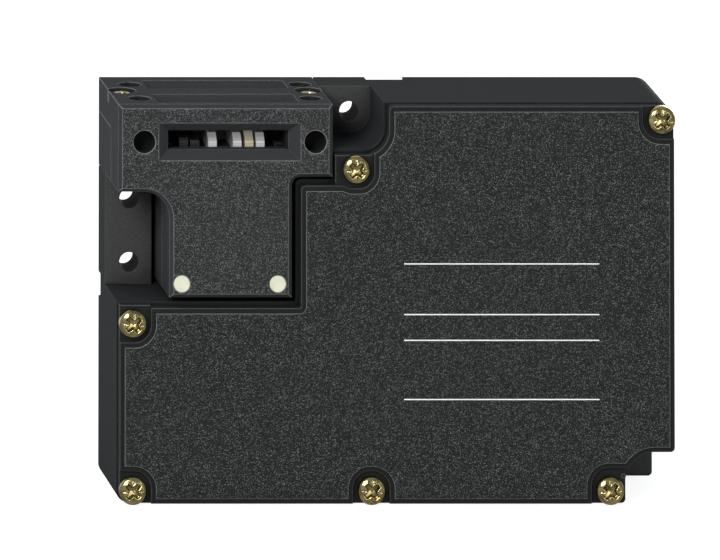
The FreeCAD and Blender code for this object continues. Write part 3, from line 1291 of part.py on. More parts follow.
TERMINAL_LEFT = SHAFT_RIGHT + " + wall + terminal_offset"
TERMINAL_RIGHT = RIGHT + " - entry_length - terminal_gap"
TERMINAL_PITCH = f"({TERMINAL_RIGHT} - ({TERMINAL_LEFT})) / terminal_count"
CLAMP_WIDTH = TERMINAL_PITCH + " - clamp_wall"
TERMINAL_SCREW = CLAMP_WIDTH + " - clamp_rim"
TERMINAL_FOOT = YOKE_TOP + " + terminal_lift"
TERMINAL_MID = TERMINAL_FOOT + " + terminal_height / 2"


def terminal_x(index):
    return f"{TERMINAL_LEFT} + {TERMINAL_PITCH} * {index + 0.5}"


CLAMP_FOOT = TERMINAL_MID + " - clamp_height / 2"
CLAMP_TOP = TERMINAL_MID + " + clamp_height / 2"
clamps = []
clamp_seats = []
terminal_screws = []
for index in range(int(value("terminal_count"))):
    x = terminal_x(index)
    span = (f"{x} - ({CLAMP_WIDTH}) / 2", f"{x} + ({CLAMP_WIDTH}) / 2")
    depth = ("terminal_front + clamp_sink", "terminal_front + clamp_sink + clamp_depth")
    clamp_seats.append(block(f"clamp_seat_{index + 1}", span, ("terminal_front - 1", depth[1]),
                             (CLAMP_FOOT, CLAMP_TOP)))
    clamps.append(block(f"clamp_{index + 1}", span, depth, (CLAMP_FOOT, CLAMP_TOP)))
    head = rod(f"terminal_head_{index + 1}", "Y", f"({TERMINAL_SCREW}) / 2", "terminal_screw_height", x,
               "terminal_front + clamp_sink - terminal_screw_height", TERMINAL_MID)
    slot = block(f"terminal_slot_{index + 1}", (f"{x} - ({TERMINAL_SCREW})", f"{x} + {TERMINAL_SCREW}"),
                 ("terminal_front + clamp_sink - terminal_screw_height - 1",
                  "terminal_front + clamp_sink - terminal_screw_height / 2"),
                 (TERMINAL_MID + " - terminal_slot / 2", TERMINAL_MID + " + terminal_slot / 2"))
    terminal_screws.append(cut(f"terminal_screw_{index + 1}", head, [slot]))
terminal_bar = block("terminal_bar", (TERMINAL_LEFT, TERMINAL_RIGHT), ("terminal_front", FLOOR),
                     (TERMINAL_FOOT, TERMINAL_FOOT + " + terminal_height"))
node("terminal_block", cut("terminal_block", terminal_bar, clamp_seats))
node("terminal_clamps", group("terminal_clamps", clamps))
node("terminal_screws", group("terminal_screws", terminal_screws))


# Blanking plugs in two of the cable entries, each with a flat seal

def entry_plug(name, along, x, z):
    """A plug screwed in flush with the wall: a round head with a coin slot, and a plain spigot."""
    up = along == "Z"
    sink = "plug_head_thickness + seal_thickness"

    def place(distance, length):
        """Where a bar of this length starts, the distance being from the outer wall."""
        if up:
            return x, distance
        return f"{RIGHT} - ({distance}) - ({length})", z

    spigot_length = "plug_length - plug_head_thickness"
    head_x, head_z = place("0", "plug_head_thickness")
    spigot_x, spigot_z = place("plug_head_thickness", spigot_length)
    head = rod(name + "_head", along, "plug_head / 2", "plug_head_thickness", head_x, "entry_depth", head_z)
    spigot = rod(name + "_spigot", along, "entry_bore / 2 - plug_gap", spigot_length, spigot_x, "entry_depth",
                 spigot_z)
    across = ("entry_depth - plug_head / 2 + 2", "entry_depth + plug_head / 2 - 2")
    if up:
        slot = block(name + "_slot", (f"{x} - plug_slot / 2", f"{x} + plug_slot / 2"), across, ("-1", "1.2"))
    else:
        slot = block(name + "_slot", (RIGHT + " - 1.2", RIGHT + " + 1"), across,
                     (f"{z} - plug_slot / 2", f"{z} + plug_slot / 2"))
    plug = cut(name, fuse(name + "_solid", [head, spigot]), [slot])
    seal_x, seal_z = place("plug_head_thickness", "seal_thickness")
    ring = rod(name + "_ring", along, "plug_head / 2 - plug_gap", "seal_thickness", seal_x, "entry_depth", seal_z)
    shift_x, shift_z = (seal_x, seal_z + " - 1") if up else (seal_x + " - 1", seal_z)
    hole = rod(name + "_ring_hole", along, "entry_bore / 2", "seal_thickness + 2", shift_x, "entry_depth",
               shift_z)
    return plug, cut(name + "_seal", ring, [hole])


for name, seal, along, x, z in (
    ("bottom_entry_plug", "bottom_plug_seal", "Z", FIRST_ENTRY, "0"),
    ("side_entry_plug", "side_plug_seal", "X", "0", SIDE_ENTRY_Z),
):
    plug, ring = entry_plug(name, along, x, z)
    node(name, plug)
    node(seal, ring)


# Check every object, then write one file for each piece

doc.recompute()
for item in doc.Objects:
    if "Invalid" in item.State or "Error" in item.State:
        raise RuntimeError(f"{item.Name} failed: {item.State}")
os.makedirs("parts", exist_ok=True)
for name, part in NODES.items():
    if part.Shape.isNull() or not part.Shape.isValid() or not part.Shape.Solids:
        raise RuntimeError(f"{name} is not a sound solid")
for name, part in NODES.items():
    part.Shape.exportStep(os.path.join("parts", name + ".step"))
    box = part.Shape.BoundBox
    print(f"{name:24s} solids {len(part.Shape.Solids):2d} volume {part.Shape.Volume:9.1f} "
          f"x {box.XMin:7.2f} {box.XMax:7.2f} y {box.YMin:7.2f} {box.YMax:7.2f} "
          f"z {box.ZMin:6.2f} {box.ZMax:6.2f}")
print(f"{len(NODES)} nodes")
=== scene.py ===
# %% [markdown]
# # A tongue interlock switch, dressed for its picture
#
# The switch guards a machine door. Its solids, joints and sizes are settled already, and this
# lesson gives them their looks: grained black plastic, yellow-chromated screws, steel discs in the
# slot, springs that give. Everything is in metres, and every solid keeps its place. The solids
# arrive in plain stand-in materials, which come off first.

# %% Load the solids
import json
import math

import bmesh
import bpy
from mathutils import Matrix, Vector


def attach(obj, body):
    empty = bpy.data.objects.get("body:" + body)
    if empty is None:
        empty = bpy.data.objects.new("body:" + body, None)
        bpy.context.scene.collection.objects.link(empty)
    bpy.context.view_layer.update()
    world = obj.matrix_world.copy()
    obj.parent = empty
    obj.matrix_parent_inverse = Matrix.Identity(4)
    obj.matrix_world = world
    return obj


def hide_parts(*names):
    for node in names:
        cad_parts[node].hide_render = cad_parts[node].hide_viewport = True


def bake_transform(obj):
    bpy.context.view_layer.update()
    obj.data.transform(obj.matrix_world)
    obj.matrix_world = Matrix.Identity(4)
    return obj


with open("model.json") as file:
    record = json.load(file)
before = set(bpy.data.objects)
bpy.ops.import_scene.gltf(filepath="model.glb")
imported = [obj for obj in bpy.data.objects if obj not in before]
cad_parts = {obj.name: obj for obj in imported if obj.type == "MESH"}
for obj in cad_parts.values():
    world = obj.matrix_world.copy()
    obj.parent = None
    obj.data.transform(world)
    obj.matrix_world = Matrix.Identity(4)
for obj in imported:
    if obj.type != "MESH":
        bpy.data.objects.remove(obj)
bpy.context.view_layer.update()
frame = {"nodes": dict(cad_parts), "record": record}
nodes = frame["nodes"]
for solid in nodes.values():
    solid.data.materials.clear()
for stand_in in list(bpy.data.materials):
    bpy.data.materials.remove(stand_in)
print("solids loaded:", len(nodes))

# %% [markdown]
# ## Measures
#
# The front of the cover is the plane that everything else is measured from. A helper turns
# millimetres into a point of the scene, so that the numbers below read like a drawing.

# %% Measures
MM = 0.001
COVER_FACE = -14.4
ACROSS, UP = Vector((1, 0, 0)), Vector((0, 0, 1))
QUARTER_TURN = math.radians(90)


def at(x, depth, z):
    """A point from millimetres: across, behind the cover's face, and up."""
    return Vector((x, COVER_FACE + depth, z)) * MM


print("cover face at Y =", COVER_FACE * MM)

# %% [markdown]
# ## Camera
#
# A picture like this is taken with a long lens on a view camera: the film stays parallel to the
# front of the switch, so its edges stay level and upright, while the lens looks at it from the
# upper left, so the top and the left side show. Blender's camera has no swinging film holder. The
# same picture comes from a camera whose right axis lies in the plane of the front and whose third
# axis is the slanted line of sight. Its parent holds those three axes. The picture was also
# stretched upright by a few hundredths, so its round holes are tall ovals: leaning the film's
# upright axis a little towards the line of sight stretches this picture the same way.

# %% Camera
VIEW_DISTANCE = 4.0
PIXELS_PER_METRE = 4285.0
UPRIGHT_STRETCH = 1.0367
PICTURE_WIDTH = 720
FILM_WIDTH = 36
AIM = at(-8.77, 0.0, 50.68)
SIGHT = Vector((-0.1756, -1.0, 0.2268))

film = bpy.data.objects.new("film_holder", None)
bpy.context.scene.collection.objects.link(film)
camera_data = bpy.data.cameras.new("long_lens")
camera = bpy.data.objects.new("camera", camera_data)
bpy.context.scene.collection.objects.link(camera)
camera.parent = film
sight = SIGHT.normalized()
eye = AIM + SIGHT * VIEW_DISTANCE
lean = math.sqrt(sight.z ** 2 + UPRIGHT_STRETCH ** 2 - 1) - sight.z
film_up = (UP + lean * sight) / UPRIGHT_STRETCH
camera.matrix_parent_inverse = Matrix((
    (1, film_up.x, sight.x, eye.x),
    (0, film_up.y, sight.y, eye.y),
    (0, film_up.z, sight.z, eye.z),
    (0, 0, 0, 1)))
camera_data.sensor_width = FILM_WIDTH
camera_data.lens = FILM_WIDTH * PIXELS_PER_METRE * VIEW_DISTANCE * SIGHT.length / PICTURE_WIDTH
camera_data.clip_start = 0.1
camera_data.clip_end = 100
bpy.context.scene.camera = camera
print("lens", round(camera_data.lens), "mm")

# %% [markdown]
# ## Node helpers
#
# A material is a small network of nodes. A few helpers keep each network short: one adds a node and
# fills in its sockets, some stand for a node that is needed often, and the last one starts a group
# with named sockets.

# %% Node helpers


def put(tree, kind, inputs=None, **settings):
    """A new node. Each input is a value, or the socket that feeds it."""
    node = tree.nodes.new(kind)
    for name, setting in settings.items():
        setattr(node, name, setting)
    for name, source in (inputs or {}).items():
        if isinstance(source, bpy.types.NodeSocket):
            tree.links.new(source, node.inputs[name])
        else:
            node.inputs[name].default_value = source
    return node


def calculate(tree, operation, first, second=0.0, third=0.0):
    """One sum with sockets or numbers."""
    inputs = {0: first, 1: second, 2: third}
    return put(tree, "ShaderNodeMath", inputs, operation=operation).outputs[0]


def times(tree, first, *others):
    """The product of sockets and numbers."""
    for factor in others:
        first = calculate(tree, "MULTIPLY", first, factor)
    return first


def component(tree, vector, axis):
    """One coordinate of a vector."""
    return put(tree, "ShaderNodeSeparateXYZ", {0: vector}).outputs[axis]


def ramp_between(tree, source, low, high, start=0.0, end=1.0):
    """start where the source is below low, end where it is above high, smooth between them."""
    return put(tree, "ShaderNodeMapRange", {
        "Value": source, "From Min": low, "From Max": high, "To Min": start, "To Max": end},
        interpolation_type="SMOOTHSTEP").outputs[0]


def blend_colours(tree, share, first, second):
    """The first colour where the share is 0, the second where it is 1."""
    node = put(tree, "ShaderNodeMix", data_type="RGBA")
    for index, source in ((0, share), (6, first), (7, second)):
        if isinstance(source, bpy.types.NodeSocket):
            tree.links.new(source, node.inputs[index])
        elif index == 0:
            node.inputs[index].default_value = source
        else:
            node.inputs[index].default_value = (*source, 1)
    return node.outputs[2]


def start_group(name, inputs, outputs, family="ShaderNodeTree"):
    """A node group with named sockets: the group, its inputs and its outputs."""
    group = bpy.data.node_groups.new(name, family)
    for socket, (kind, default) in inputs.items():
        made = group.interface.new_socket(socket, in_out="INPUT", socket_type="NodeSocket" + kind)
        if default is not None:
            made.default_value = default
    for socket, kind in outputs.items():
        group.interface.new_socket(socket, in_out="OUTPUT", socket_type="NodeSocket" + kind)
    given = group.nodes.new("NodeGroupInput").outputs
    result = group.nodes.new("NodeGroupOutput").inputs
    return group, given, result


print("helpers ready")

# %% [markdown]
# ## Finish: spark-eroded grain
#
# The mould of the cover and the head was spark-eroded, which leaves the plastic with a fine, even
# grain. Its tiny facets glint under soft light; the glints are painted into the colour as pale
# cells a quarter of a millimetre across, painted highlights, and the pits between them as dark
# cells, painted shade. Each facet is a cell of a Voronoi pattern with a random tone of its own; a
# coarse noise lets the peppering drift a little from place to place.

# %% Group: spark-eroded grain
DRIFT_SCALE, DRIFT_RANGE = 260.0, (0.3, 0.7)
FEW_FLECKS, MANY_FLECKS = 0.66, 0.56
FULL_FLECK = 1.05
FLECK_CORE, FLECK_RIM = 0.25, 0.70
DEEPEST_PIT, FAINTEST_PIT, PIT_SHADE = 0.05, 0.35, 0.75
GLINT_GLOSS = -0.15

grain, given, result = start_group(
    "spark_eroded_grain",
    {"Vector": ("Vector", None), "Grain Size": ("Float", 0.0003), "Amount": ("Float", 1.0),
     "Plastic": ("Color", (0.02, 0.02, 0.02, 1)), "Flecks": ("Color", (0.2, 0.2, 0.2, 1)),
     "Dull": ("Float", 0.6)},
    {"Color": "Color", "Roughness": "Float", "Height": "Float"})
density = calculate(grain, "DIVIDE", 1.0, given["Grain Size"])
cells = put(grain, "ShaderNodeTexVoronoi", {"Vector": given["Vector"], "Scale": density}).outputs
chance = put(grain, "ShaderNodeSeparateColor", {0: cells["Color"]}).outputs[0]
drift = put(grain, "ShaderNodeTexNoise", {
    "Vector": given["Vector"], "Scale": DRIFT_SCALE, "Detail": 3.0,
    "Roughness": 0.6}).outputs["Fac"]
limit = ramp_between(grain, drift, *DRIFT_RANGE, FEW_FLECKS, MANY_FLECKS)
facet = put(grain, "ShaderNodeMapRange", {
    "Value": chance, "From Min": limit, "From Max": FULL_FLECK}).outputs[0]
middle = ramp_between(grain, cells["Distance"], FLECK_CORE, FLECK_RIM, 1.0, 0.0)
# pale cells painted into the colour as highlights of the facets; the same mask makes them glossier
glint = times(grain, facet, middle, given["Amount"])
# the darkest cells, the pits, are darkened as painted shade
pit_shade = ramp_between(grain, chance, DEEPEST_PIT, FAINTEST_PIT, PIT_SHADE, 0.0)
shaded = blend_colours(grain, times(grain, pit_shade, given["Amount"]), given["Plastic"], (0, 0, 0))
grain.links.new(blend_colours(grain, glint, shaded, given["Flecks"]), result["Color"])
gloss = calculate(grain, "MULTIPLY_ADD", glint, GLINT_GLOSS, given["Dull"])
grain.links.new(gloss, result["Roughness"])
grain.links.new(times(grain, chance, given["Amount"]), result["Height"])
print("group", grain.name)

# %% [markdown]
# ## Finish: softened edges
#
# No moulded or stamped edge is truly sharp: it is rounded by a tenth or two, and the materials
# paint a thin pale line along it as a highlight. The Bevel node looks at the faces around a point
# and returns the normal of a rounded edge. Where that normal leaves the face's own one, there is an
# edge. Occlusion tells an outer edge from an inner corner, which the materials paint darker as
# shade. A second one also counts the neighbouring solids and finds the seams between them; a
# third, with a longer reach, finds deep holes and pockets, whose walls are painted almost black
# as shade.

# %% Group: softened edges
EDGE_AGREES = (0.84, 0.985)
OUTER_SKY, CORNER_SKY = (0.80, 0.95), (0.45, 0.90)
SEAM_SKY, DEEP_SKY = (0.40, 0.90), (0.20, 0.75)
EDGE_SAMPLES = 6


def sky_share(tree, reach, only_local=False):
    """How much sky a point sees within its reach: little in corners, seams and holes."""
    return put(tree, "ShaderNodeAmbientOcclusion", {"Distance": reach},
               samples=EDGE_SAMPLES, only_local=only_local).outputs["AO"]


edges, given, result = start_group(
    "softened_edge",
    {"Radius": ("Float", 0.0002), "Reach": ("Float", 0.0008), "Deep Reach": ("Float", 0.008)},
    {"Mask": "Float", "Corner": "Float", "Seam": "Float", "Deep": "Float", "Normal": "Vector"})
rounded = put(edges, "ShaderNodeBevel", {"Radius": given["Radius"]},
              samples=EDGE_SAMPLES).outputs[0]
own = edges.nodes.new("ShaderNodeNewGeometry").outputs["True Normal"]
agree = put(edges, "ShaderNodeVectorMath", {0: rounded, 1: own},
            operation="DOT_PRODUCT").outputs["Value"]
own_sky = sky_share(edges, given["Reach"], only_local=True)
near_sky = sky_share(edges, given["Reach"])
far_sky = sky_share(edges, given["Deep Reach"])
outer_edge = times(edges, ramp_between(edges, agree, *EDGE_AGREES, 1.0, 0.0),
                   ramp_between(edges, own_sky, *OUTER_SKY))
# Mask places a painted highlight; Corner, Seam and Deep place painted shade
for label, source in (
        ("Mask", outer_edge),
        ("Corner", ramp_between(edges, own_sky, *CORNER_SKY, 1.0, 0.0)),
        ("Seam", ramp_between(edges, near_sky, *SEAM_SKY, 1.0, 0.0)),
        ("Deep", ramp_between(edges, far_sky, *DEEP_SKY, 1.0, 0.0)),
        ("Normal", rounded)):
    edges.links.new(source, result[label])
print("group", edges.name)

# %% [markdown]
# ## Finish: cloudy tone
#
# Every real surface is a little uneven: flow marks in a moulding, stains on plating, tarnish on
# brass. This group drifts slowly between two tones and lets the gloss drift with it.

# %% Group: cloudy tone
PATCH_BORDER = (0.35, 0.65)

cloudy, given, result = start_group(
    "cloudy_tone",
    {"Vector": ("Vector", None), "Patch Size": ("Float", 0.004),
     "First": ("Color", (0.5, 0.5, 0.5, 1)), "Second": ("Color", (0.6, 0.6, 0.6, 1)),
     "Dull": ("Float", 0.5), "Dull Spread": ("Float", 0.1)},
    {"Color": "Color", "Roughness": "Float", "Height": "Float"})
cloud = put(cloudy, "ShaderNodeTexNoise", {
    "Vector": given["Vector"], "Scale": calculate(cloudy, "DIVIDE", 1.0, given["Patch Size"]),
    "Detail": 4.0, "Roughness": 0.55, "Distortion": 0.3}).outputs["Fac"]
patches = ramp_between(cloudy, cloud, *PATCH_BORDER)
cloudy.links.new(blend_colours(cloudy, patches, given["First"], given["Second"]), result["Color"])
swing = calculate(cloudy, "SUBTRACT", cloud, 0.5)
gloss = calculate(cloudy, "MULTIPLY_ADD", swing, given["Dull Spread"], given["Dull"])
cloudy.links.new(gloss, result["Roughness"])
cloudy.links.new(cloud, result["Height"])
print("group", cloudy.name)

# %% [markdown]
# ## Finish: drawn lines
#
# Rolled strip, turned pins and drawn wire carry fine lines in one direction. Stretching a noise
# along that direction gives them.

# %% Group: drawn lines
STROKE_BORDER, STROKE_DULLNESS = (0.42, 0.66), 0.16

drawn, given, result = start_group(
    "drawn_lines",
    {"Vector": ("Vector", None), "Stretch": ("Vector", (40.0, 4000.0, 4000.0)),
     "Metal": ("Color", (0.6, 0.6, 0.6, 1)), "Line Tone": ("Color", (0.4, 0.4, 0.4, 1)),
     "Dull": ("Float", 0.3)},
    {"Color": "Color", "Roughness": "Float", "Height": "Float"})
stretched = put(drawn, "ShaderNodeVectorMath", {0: given["Vector"], 1: given["Stretch"]},
                operation="MULTIPLY").outputs[0]
line = put(drawn, "ShaderNodeTexNoise", {
    "Vector": stretched, "Scale": 1.0, "Detail": 3.0}).outputs["Fac"]
strokes = ramp_between(drawn, line, *STROKE_BORDER)
drawn.links.new(blend_colours(drawn, strokes, given["Metal"], given["Line Tone"]), result["Color"])
gloss = calculate(drawn, "MULTIPLY_ADD", line, STROKE_DULLNESS, given["Dull"])
drawn.links.new(gloss, result["Roughness"])
drawn.links.new(line, result["Height"])
print("group", drawn.name)

# %% [markdown]
# ## Materials
#
# Each material has the shader itself, a place to read the pattern from, and the groups above with
# its own values. One helper starts a material, another places a group in it, and a third joins
# colour, gloss and relief to the shader. The last gives the tone of a rubbed edge.

# %% Material helpers


def start_material(name):
    """A material with its shader, and the Object coordinates its patterns follow."""
    material = bpy.data.materials.new(name)
    material.use_nodes = True
    tree = material.node_tree
    place = tree.nodes.new("ShaderNodeTexCoord").outputs["Object"]
    return material, tree, tree.nodes["Principled BSDF"], place


def place_group(tree, group, **inputs):
    """A group in a material. An input's name is written with _ for each space."""
    node = tree.nodes.new("ShaderNodeGroup")
    node.node_tree = group
    for name, source in inputs.items():
        socket = node.inputs[name.replace("_", " ")]
        if isinstance(source, bpy.types.NodeSocket):
            tree.links.new(source, socket)
        elif socket.type == "RGBA":
            socket.default_value = (*source, 1)
        else:
            socket.default_value = source
    return node.outputs


def finish_surface(tree, shader, colour, roughness, height, depth, normal):
    """Colour, gloss and relief onto the shader. depth is the relief in metres."""
    tree.links.new(colour, shader.inputs["Base Color"])
    tree.links.new(roughness, shader.inputs["Roughness"])
    relief = put(tree, "ShaderNodeBump", {
        "Height": height, "Distance": depth, "Strength": 1.0, "Normal": normal})
    tree.links.new(relief.outputs[0], shader.inputs["Normal"])


def paler(colour, gain, lift):
    """A paler colour, painted along an edge as a highlight."""
    return tuple(min(1, gain * part + lift) for part in colour)


print("ready for materials")

# %% [markdown]
# ### Black plastic
#
# Case, cover and head are the same glass-filled black plastic. The mould was only grained where it
# shapes the front faces; the walls, the funnels and the floors of the recesses are smooth and matt.
# The narrow rims and lands that lie sunk between the faces are painted nearly black as shade, and
# so are seams and deep holes; edges carry a painted highlight. The grained front faces have a tone
# of their own, which also holds painted light: on the case it lifts the front-facing recess floors,
# and the head is a paler copy of the cover's plastic, painted light from the upper left, with its
# other faces paler still. The material therefore looks at which way a face points and how deep it
# lies. The back has a weaker grain.

# %% Black plastic
PARTLY_FACING, FULLY_FACING = 0.90, 0.97
WALL_DULL = 0.92
WALL_GRAIN, BACK_GRAIN = 0.06, 0.35
GRAIN_SIZE, GRAIN_RELIEF = 0.21 * MM, 0.06 * MM
MOULDED_EDGE = 0.45 * MM
LAYER_BLUR = 0.1 * MM
# painted shade: how far seams, deep holes and sunk rims and lands are darkened
SEAM_DARK, DEEP_DARK, SUNK_DARK = 0.95, 0.9, 0.7
NEARLY_BLACK = (0.0008, 0.0008, 0.0008)
PLASTIC_GLOSS = 0.25


def black_plastic(name, plastic, front_tone_and_light, glint_tone, edge_highlight, grain_amount, layer, dull):
    """Faces to the front between the layer's depths (mm) take the grain and their own tone, which
    also holds painted light.
    """
    material, tree, shader, place = start_material(name)
    own = tree.nodes.new("ShaderNodeNewGeometry").outputs["True Normal"]
    facing = component(tree, own, "Y")
    to_front = ramp_between(tree, facing, -FULLY_FACING, -PARTLY_FACING, 1.0, 0.0)
    to_back = ramp_between(tree, facing, PARTLY_FACING, FULLY_FACING)
    depth = component(tree, place, "Y")
    first, last = ((COVER_FACE + level) * MM for level in layer)
    within = times(tree, ramp_between(tree, depth, last, last + LAYER_BLUR, 1.0, 0.0),
                   ramp_between(tree, depth, first - LAYER_BLUR, first))
    front = times(tree, to_front, within)
    sunk = calculate(tree, "SUBTRACT", to_front, front)
    share = calculate(tree, "MAXIMUM", front, times(tree, to_back, BACK_GRAIN))
    amount = calculate(tree, "MULTIPLY_ADD", share, grain_amount - WALL_GRAIN, WALL_GRAIN)
    matt = calculate(tree, "MULTIPLY_ADD", to_front, dull - WALL_DULL, WALL_DULL)
    grained = place_group(
        tree, grain, Vector=place, Grain_Size=GRAIN_SIZE, Amount=amount,
        Plastic=blend_colours(tree, front, plastic, front_tone_and_light), Flecks=glint_tone, Dull=matt)
    edge = place_group(tree, edges, Radius=MOULDED_EDGE)
    # painted highlight along the edges
    colour = blend_colours(tree, edge["Mask"], grained["Color"], edge_highlight)
    # painted shade in seams and deep holes, and on the sunk rims and lands
    dark = calculate(tree, "MAXIMUM", times(tree, edge["Seam"], SEAM_DARK),
                     times(tree, edge["Deep"], DEEP_DARK))
    dark = calculate(tree, "MAXIMUM", dark, times(tree, sunk, SUNK_DARK))
    colour = blend_colours(tree, dark, colour, NEARLY_BLACK)
    shader.inputs["Specular IOR Level"].default_value = PLASTIC_GLOSS
    finish_surface(tree, shader, colour, grained["Roughness"], grained["Height"], GRAIN_RELIEF,
                   edge["Normal"])
    return material


# painted light: the case's front tone lifts its recess floors; the head is paler than the cover all
# over
black_plastic("case_plastic", plastic=(0.012, 0.014, 0.015), front_tone_and_light=(0.045, 0.045, 0.045),
              glint_tone=(0.09, 0.095, 0.095), edge_highlight=(0.05, 0.053, 0.055), grain_amount=0.3,
              layer=(5, 40), dull=0.50)
black_plastic("cover_plastic", plastic=(0.012, 0.0135, 0.0135),
              front_tone_and_light=(0.0105, 0.012, 0.0115), glint_tone=(0.20, 0.205, 0.205),
              edge_highlight=(0.22, 0.225, 0.225), grain_amount=1.0, layer=(-9, 0.1), dull=0.58)
black_plastic("head_plastic", plastic=(0.028, 0.030, 0.031), front_tone_and_light=(0.020, 0.0215, 0.0215),
              glint_tone=(0.26, 0.265, 0.265), edge_highlight=(0.32, 0.325, 0.325), grain_amount=0.9,
              layer=(-9, 1.2), dull=0.55)
print("materials so far:", len(bpy.data.materials))

# %% [markdown]
# ### Other plastics, rubber and ink
#
# The retaining pins are cream nylon, the parts inside are black or natural mouldings, the seals are
# dull rubber, and the lines on the cover are white ink. The cloudy group carries all of them.

# %% Other plastics, rubber and ink
PATCH = 4.0 * MM
FINE_EDGE = 0.15 * MM
FINE_RELIEF = 0.02 * MM
# the pale edge line is a painted highlight; PALE_EDGE is its share
PALE_EDGE, HIGHLIGHT_LIFT = 0.5, (1.25, 0.02)


def moulding(name, first, second, dull, patch=PATCH):
    """A moulded material that drifts between two close tones, over patches of a given size."""
    material, tree, shader, place = start_material(name)
    cloud = place_group(tree, cloudy, Vector=place, Patch_Size=patch, First=first, Second=second,
                        Dull=dull)
    edge = place_group(tree, edges, Radius=FINE_EDGE)
    # painted highlight along the edges
    moulding_highlight = paler(second, *HIGHLIGHT_LIFT)
    colour = blend_colours(tree, times(tree, edge["Mask"], PALE_EDGE), cloud["Color"], moulding_highlight)
    finish_surface(tree, shader, colour, cloud["Roughness"], cloud["Height"], FINE_RELIEF,
                   edge["Normal"])
    return material


# name, first tone, second tone, dullness
MOULDINGS = (
    ("cream_plastic", (0.62, 0.62, 0.47), (0.70, 0.70, 0.55), 0.38),
    ("gasket_rubber", (0.004, 0.004, 0.004), (0.008, 0.008, 0.008), 0.85),
    ("plug_rubber", (0.010, 0.010, 0.010), (0.02, 0.02, 0.02), 0.8),
    ("plug_plastic", (0.018, 0.019, 0.020), (0.026, 0.027, 0.028), 0.5),
    ("cam_plastic", (0.010, 0.010, 0.010), (0.016, 0.016, 0.016), 0.5),
    ("slide_plastic", (0.50, 0.50, 0.46), (0.58, 0.58, 0.53), 0.45),
    ("contact_plastic", (0.022, 0.022, 0.024), (0.032, 0.032, 0.034), 0.5),
    ("bobbin_plastic", (0.35, 0.34, 0.30), (0.42, 0.41, 0.36), 0.5),
    ("terminal_plastic", (0.06, 0.07, 0.08), (0.08, 0.09, 0.10), 0.5))
for values in MOULDINGS:
    moulding(*values)
line_ink = moulding("line_ink", (0.82, 0.83, 0.82), (0.92, 0.93, 0.92), 0.6, 1.5 * MM)
print("mouldings", len(MOULDINGS), "and", line_ink.name)
print("materials so far:", len(bpy.data.materials))

# %% [markdown]
# ### Yellow-chromated zinc
#
# The screws are zinc plated and passivated yellow. The film is so thin that it shows faint
# interference colours: straw, olive and a breath of violet, changing over half a millimetre. The
# walls of the struck recess are painted dark brown as shade, and the edges carry a pale painted
# highlight.

# %% Yellow zinc
BROAD_PATCH, FINE_PATCH = 2.2 * MM, 0.9 * MM
METAL_EDGE = 0.1 * MM
VIOLET_SHARE, SCREW_HIGHLIGHT_SHARE, GLOSS_DRIFT = 0.45, 0.45, 0.3
SCREW_HIGHLIGHT, RECESS_SHADE = (0.92, 0.86, 0.62), (0.03, 0.022, 0.014)


def chromated(name, straw, olive, violet, dull):
    """Plated steel whose film drifts between three colours."""
    material, tree, shader, place = start_material(name)
    broad = place_group(tree, cloudy, Vector=place, Patch_Size=BROAD_PATCH, First=straw,
                        Second=olive, Dull=dull, Dull_Spread=GLOSS_DRIFT)
    fine = place_group(tree, cloudy, Vector=place, Patch_Size=FINE_PATCH, First=(0, 0, 0),
                       Second=(1, 1, 1), Dull=dull)
    colour = blend_colours(tree, times(tree, fine["Height"], VIOLET_SHARE), broad["Color"], violet)
    edge = place_group(tree, edges, Radius=METAL_EDGE)
    # painted highlight along the edges
    colour = blend_colours(tree, times(tree, edge["Mask"], SCREW_HIGHLIGHT_SHARE), colour, SCREW_HIGHLIGHT)
    # painted shade in the recess and other inner corners
    colour = blend_colours(tree, edge["Corner"], colour, RECESS_SHADE)
    shader.inputs["Metallic"].default_value = 1.0
    finish_surface(tree, shader, colour, broad["Roughness"], fine["Height"], FINE_RELIEF,
                   edge["Normal"])
    return material


chromated("yellow_zinc", straw=(0.54, 0.45, 0.18), olive=(0.20, 0.175, 0.06),
          violet=(0.38, 0.28, 0.20), dull=0.20)
chromated("head_screw_steel", straw=(0.74, 0.66, 0.38), olive=(0.50, 0.46, 0.26),
          violet=(0.5, 0.4, 0.3), dull=0.34)
print("materials so far:", len(bpy.data.materials))

# %% [markdown]
# ### Bare metals
#
# Strip, rod and wire: steel discs, bolt and yoke, spring wire, silver contacts, brass clamps and
# the enamelled copper of the coil. The drawn lines run along X, except on the springs, where they
# have no direction, and on the coil, where they run round it. The two discs on the left are painted
# nearly black as a shadow, a little less on their edges. All edges carry a pale painted highlight.

# %% Bare metals
STRIP_LINES = (60.0, 3000.0, 3000.0)
WIRE_LINES = (900.0, 900.0, 900.0)
COIL_LINES = (6000.0, 30.0, 30.0)
LINE_RELIEF, TURN_RELIEF = 0.006 * MM, 0.04 * MM
BRIGHT_EDGE, METAL_HIGHLIGHT_LIFT = 0.6, (1.3, 0.05)
# painted shadow of the left discs: its colour, its share, and how much less it covers edges
DISC_SHADOW = (0.02, 0.02, 0.02)
SHADOW_SHARE, SHADOW_EDGE_LOSS = 0.97, 0.35


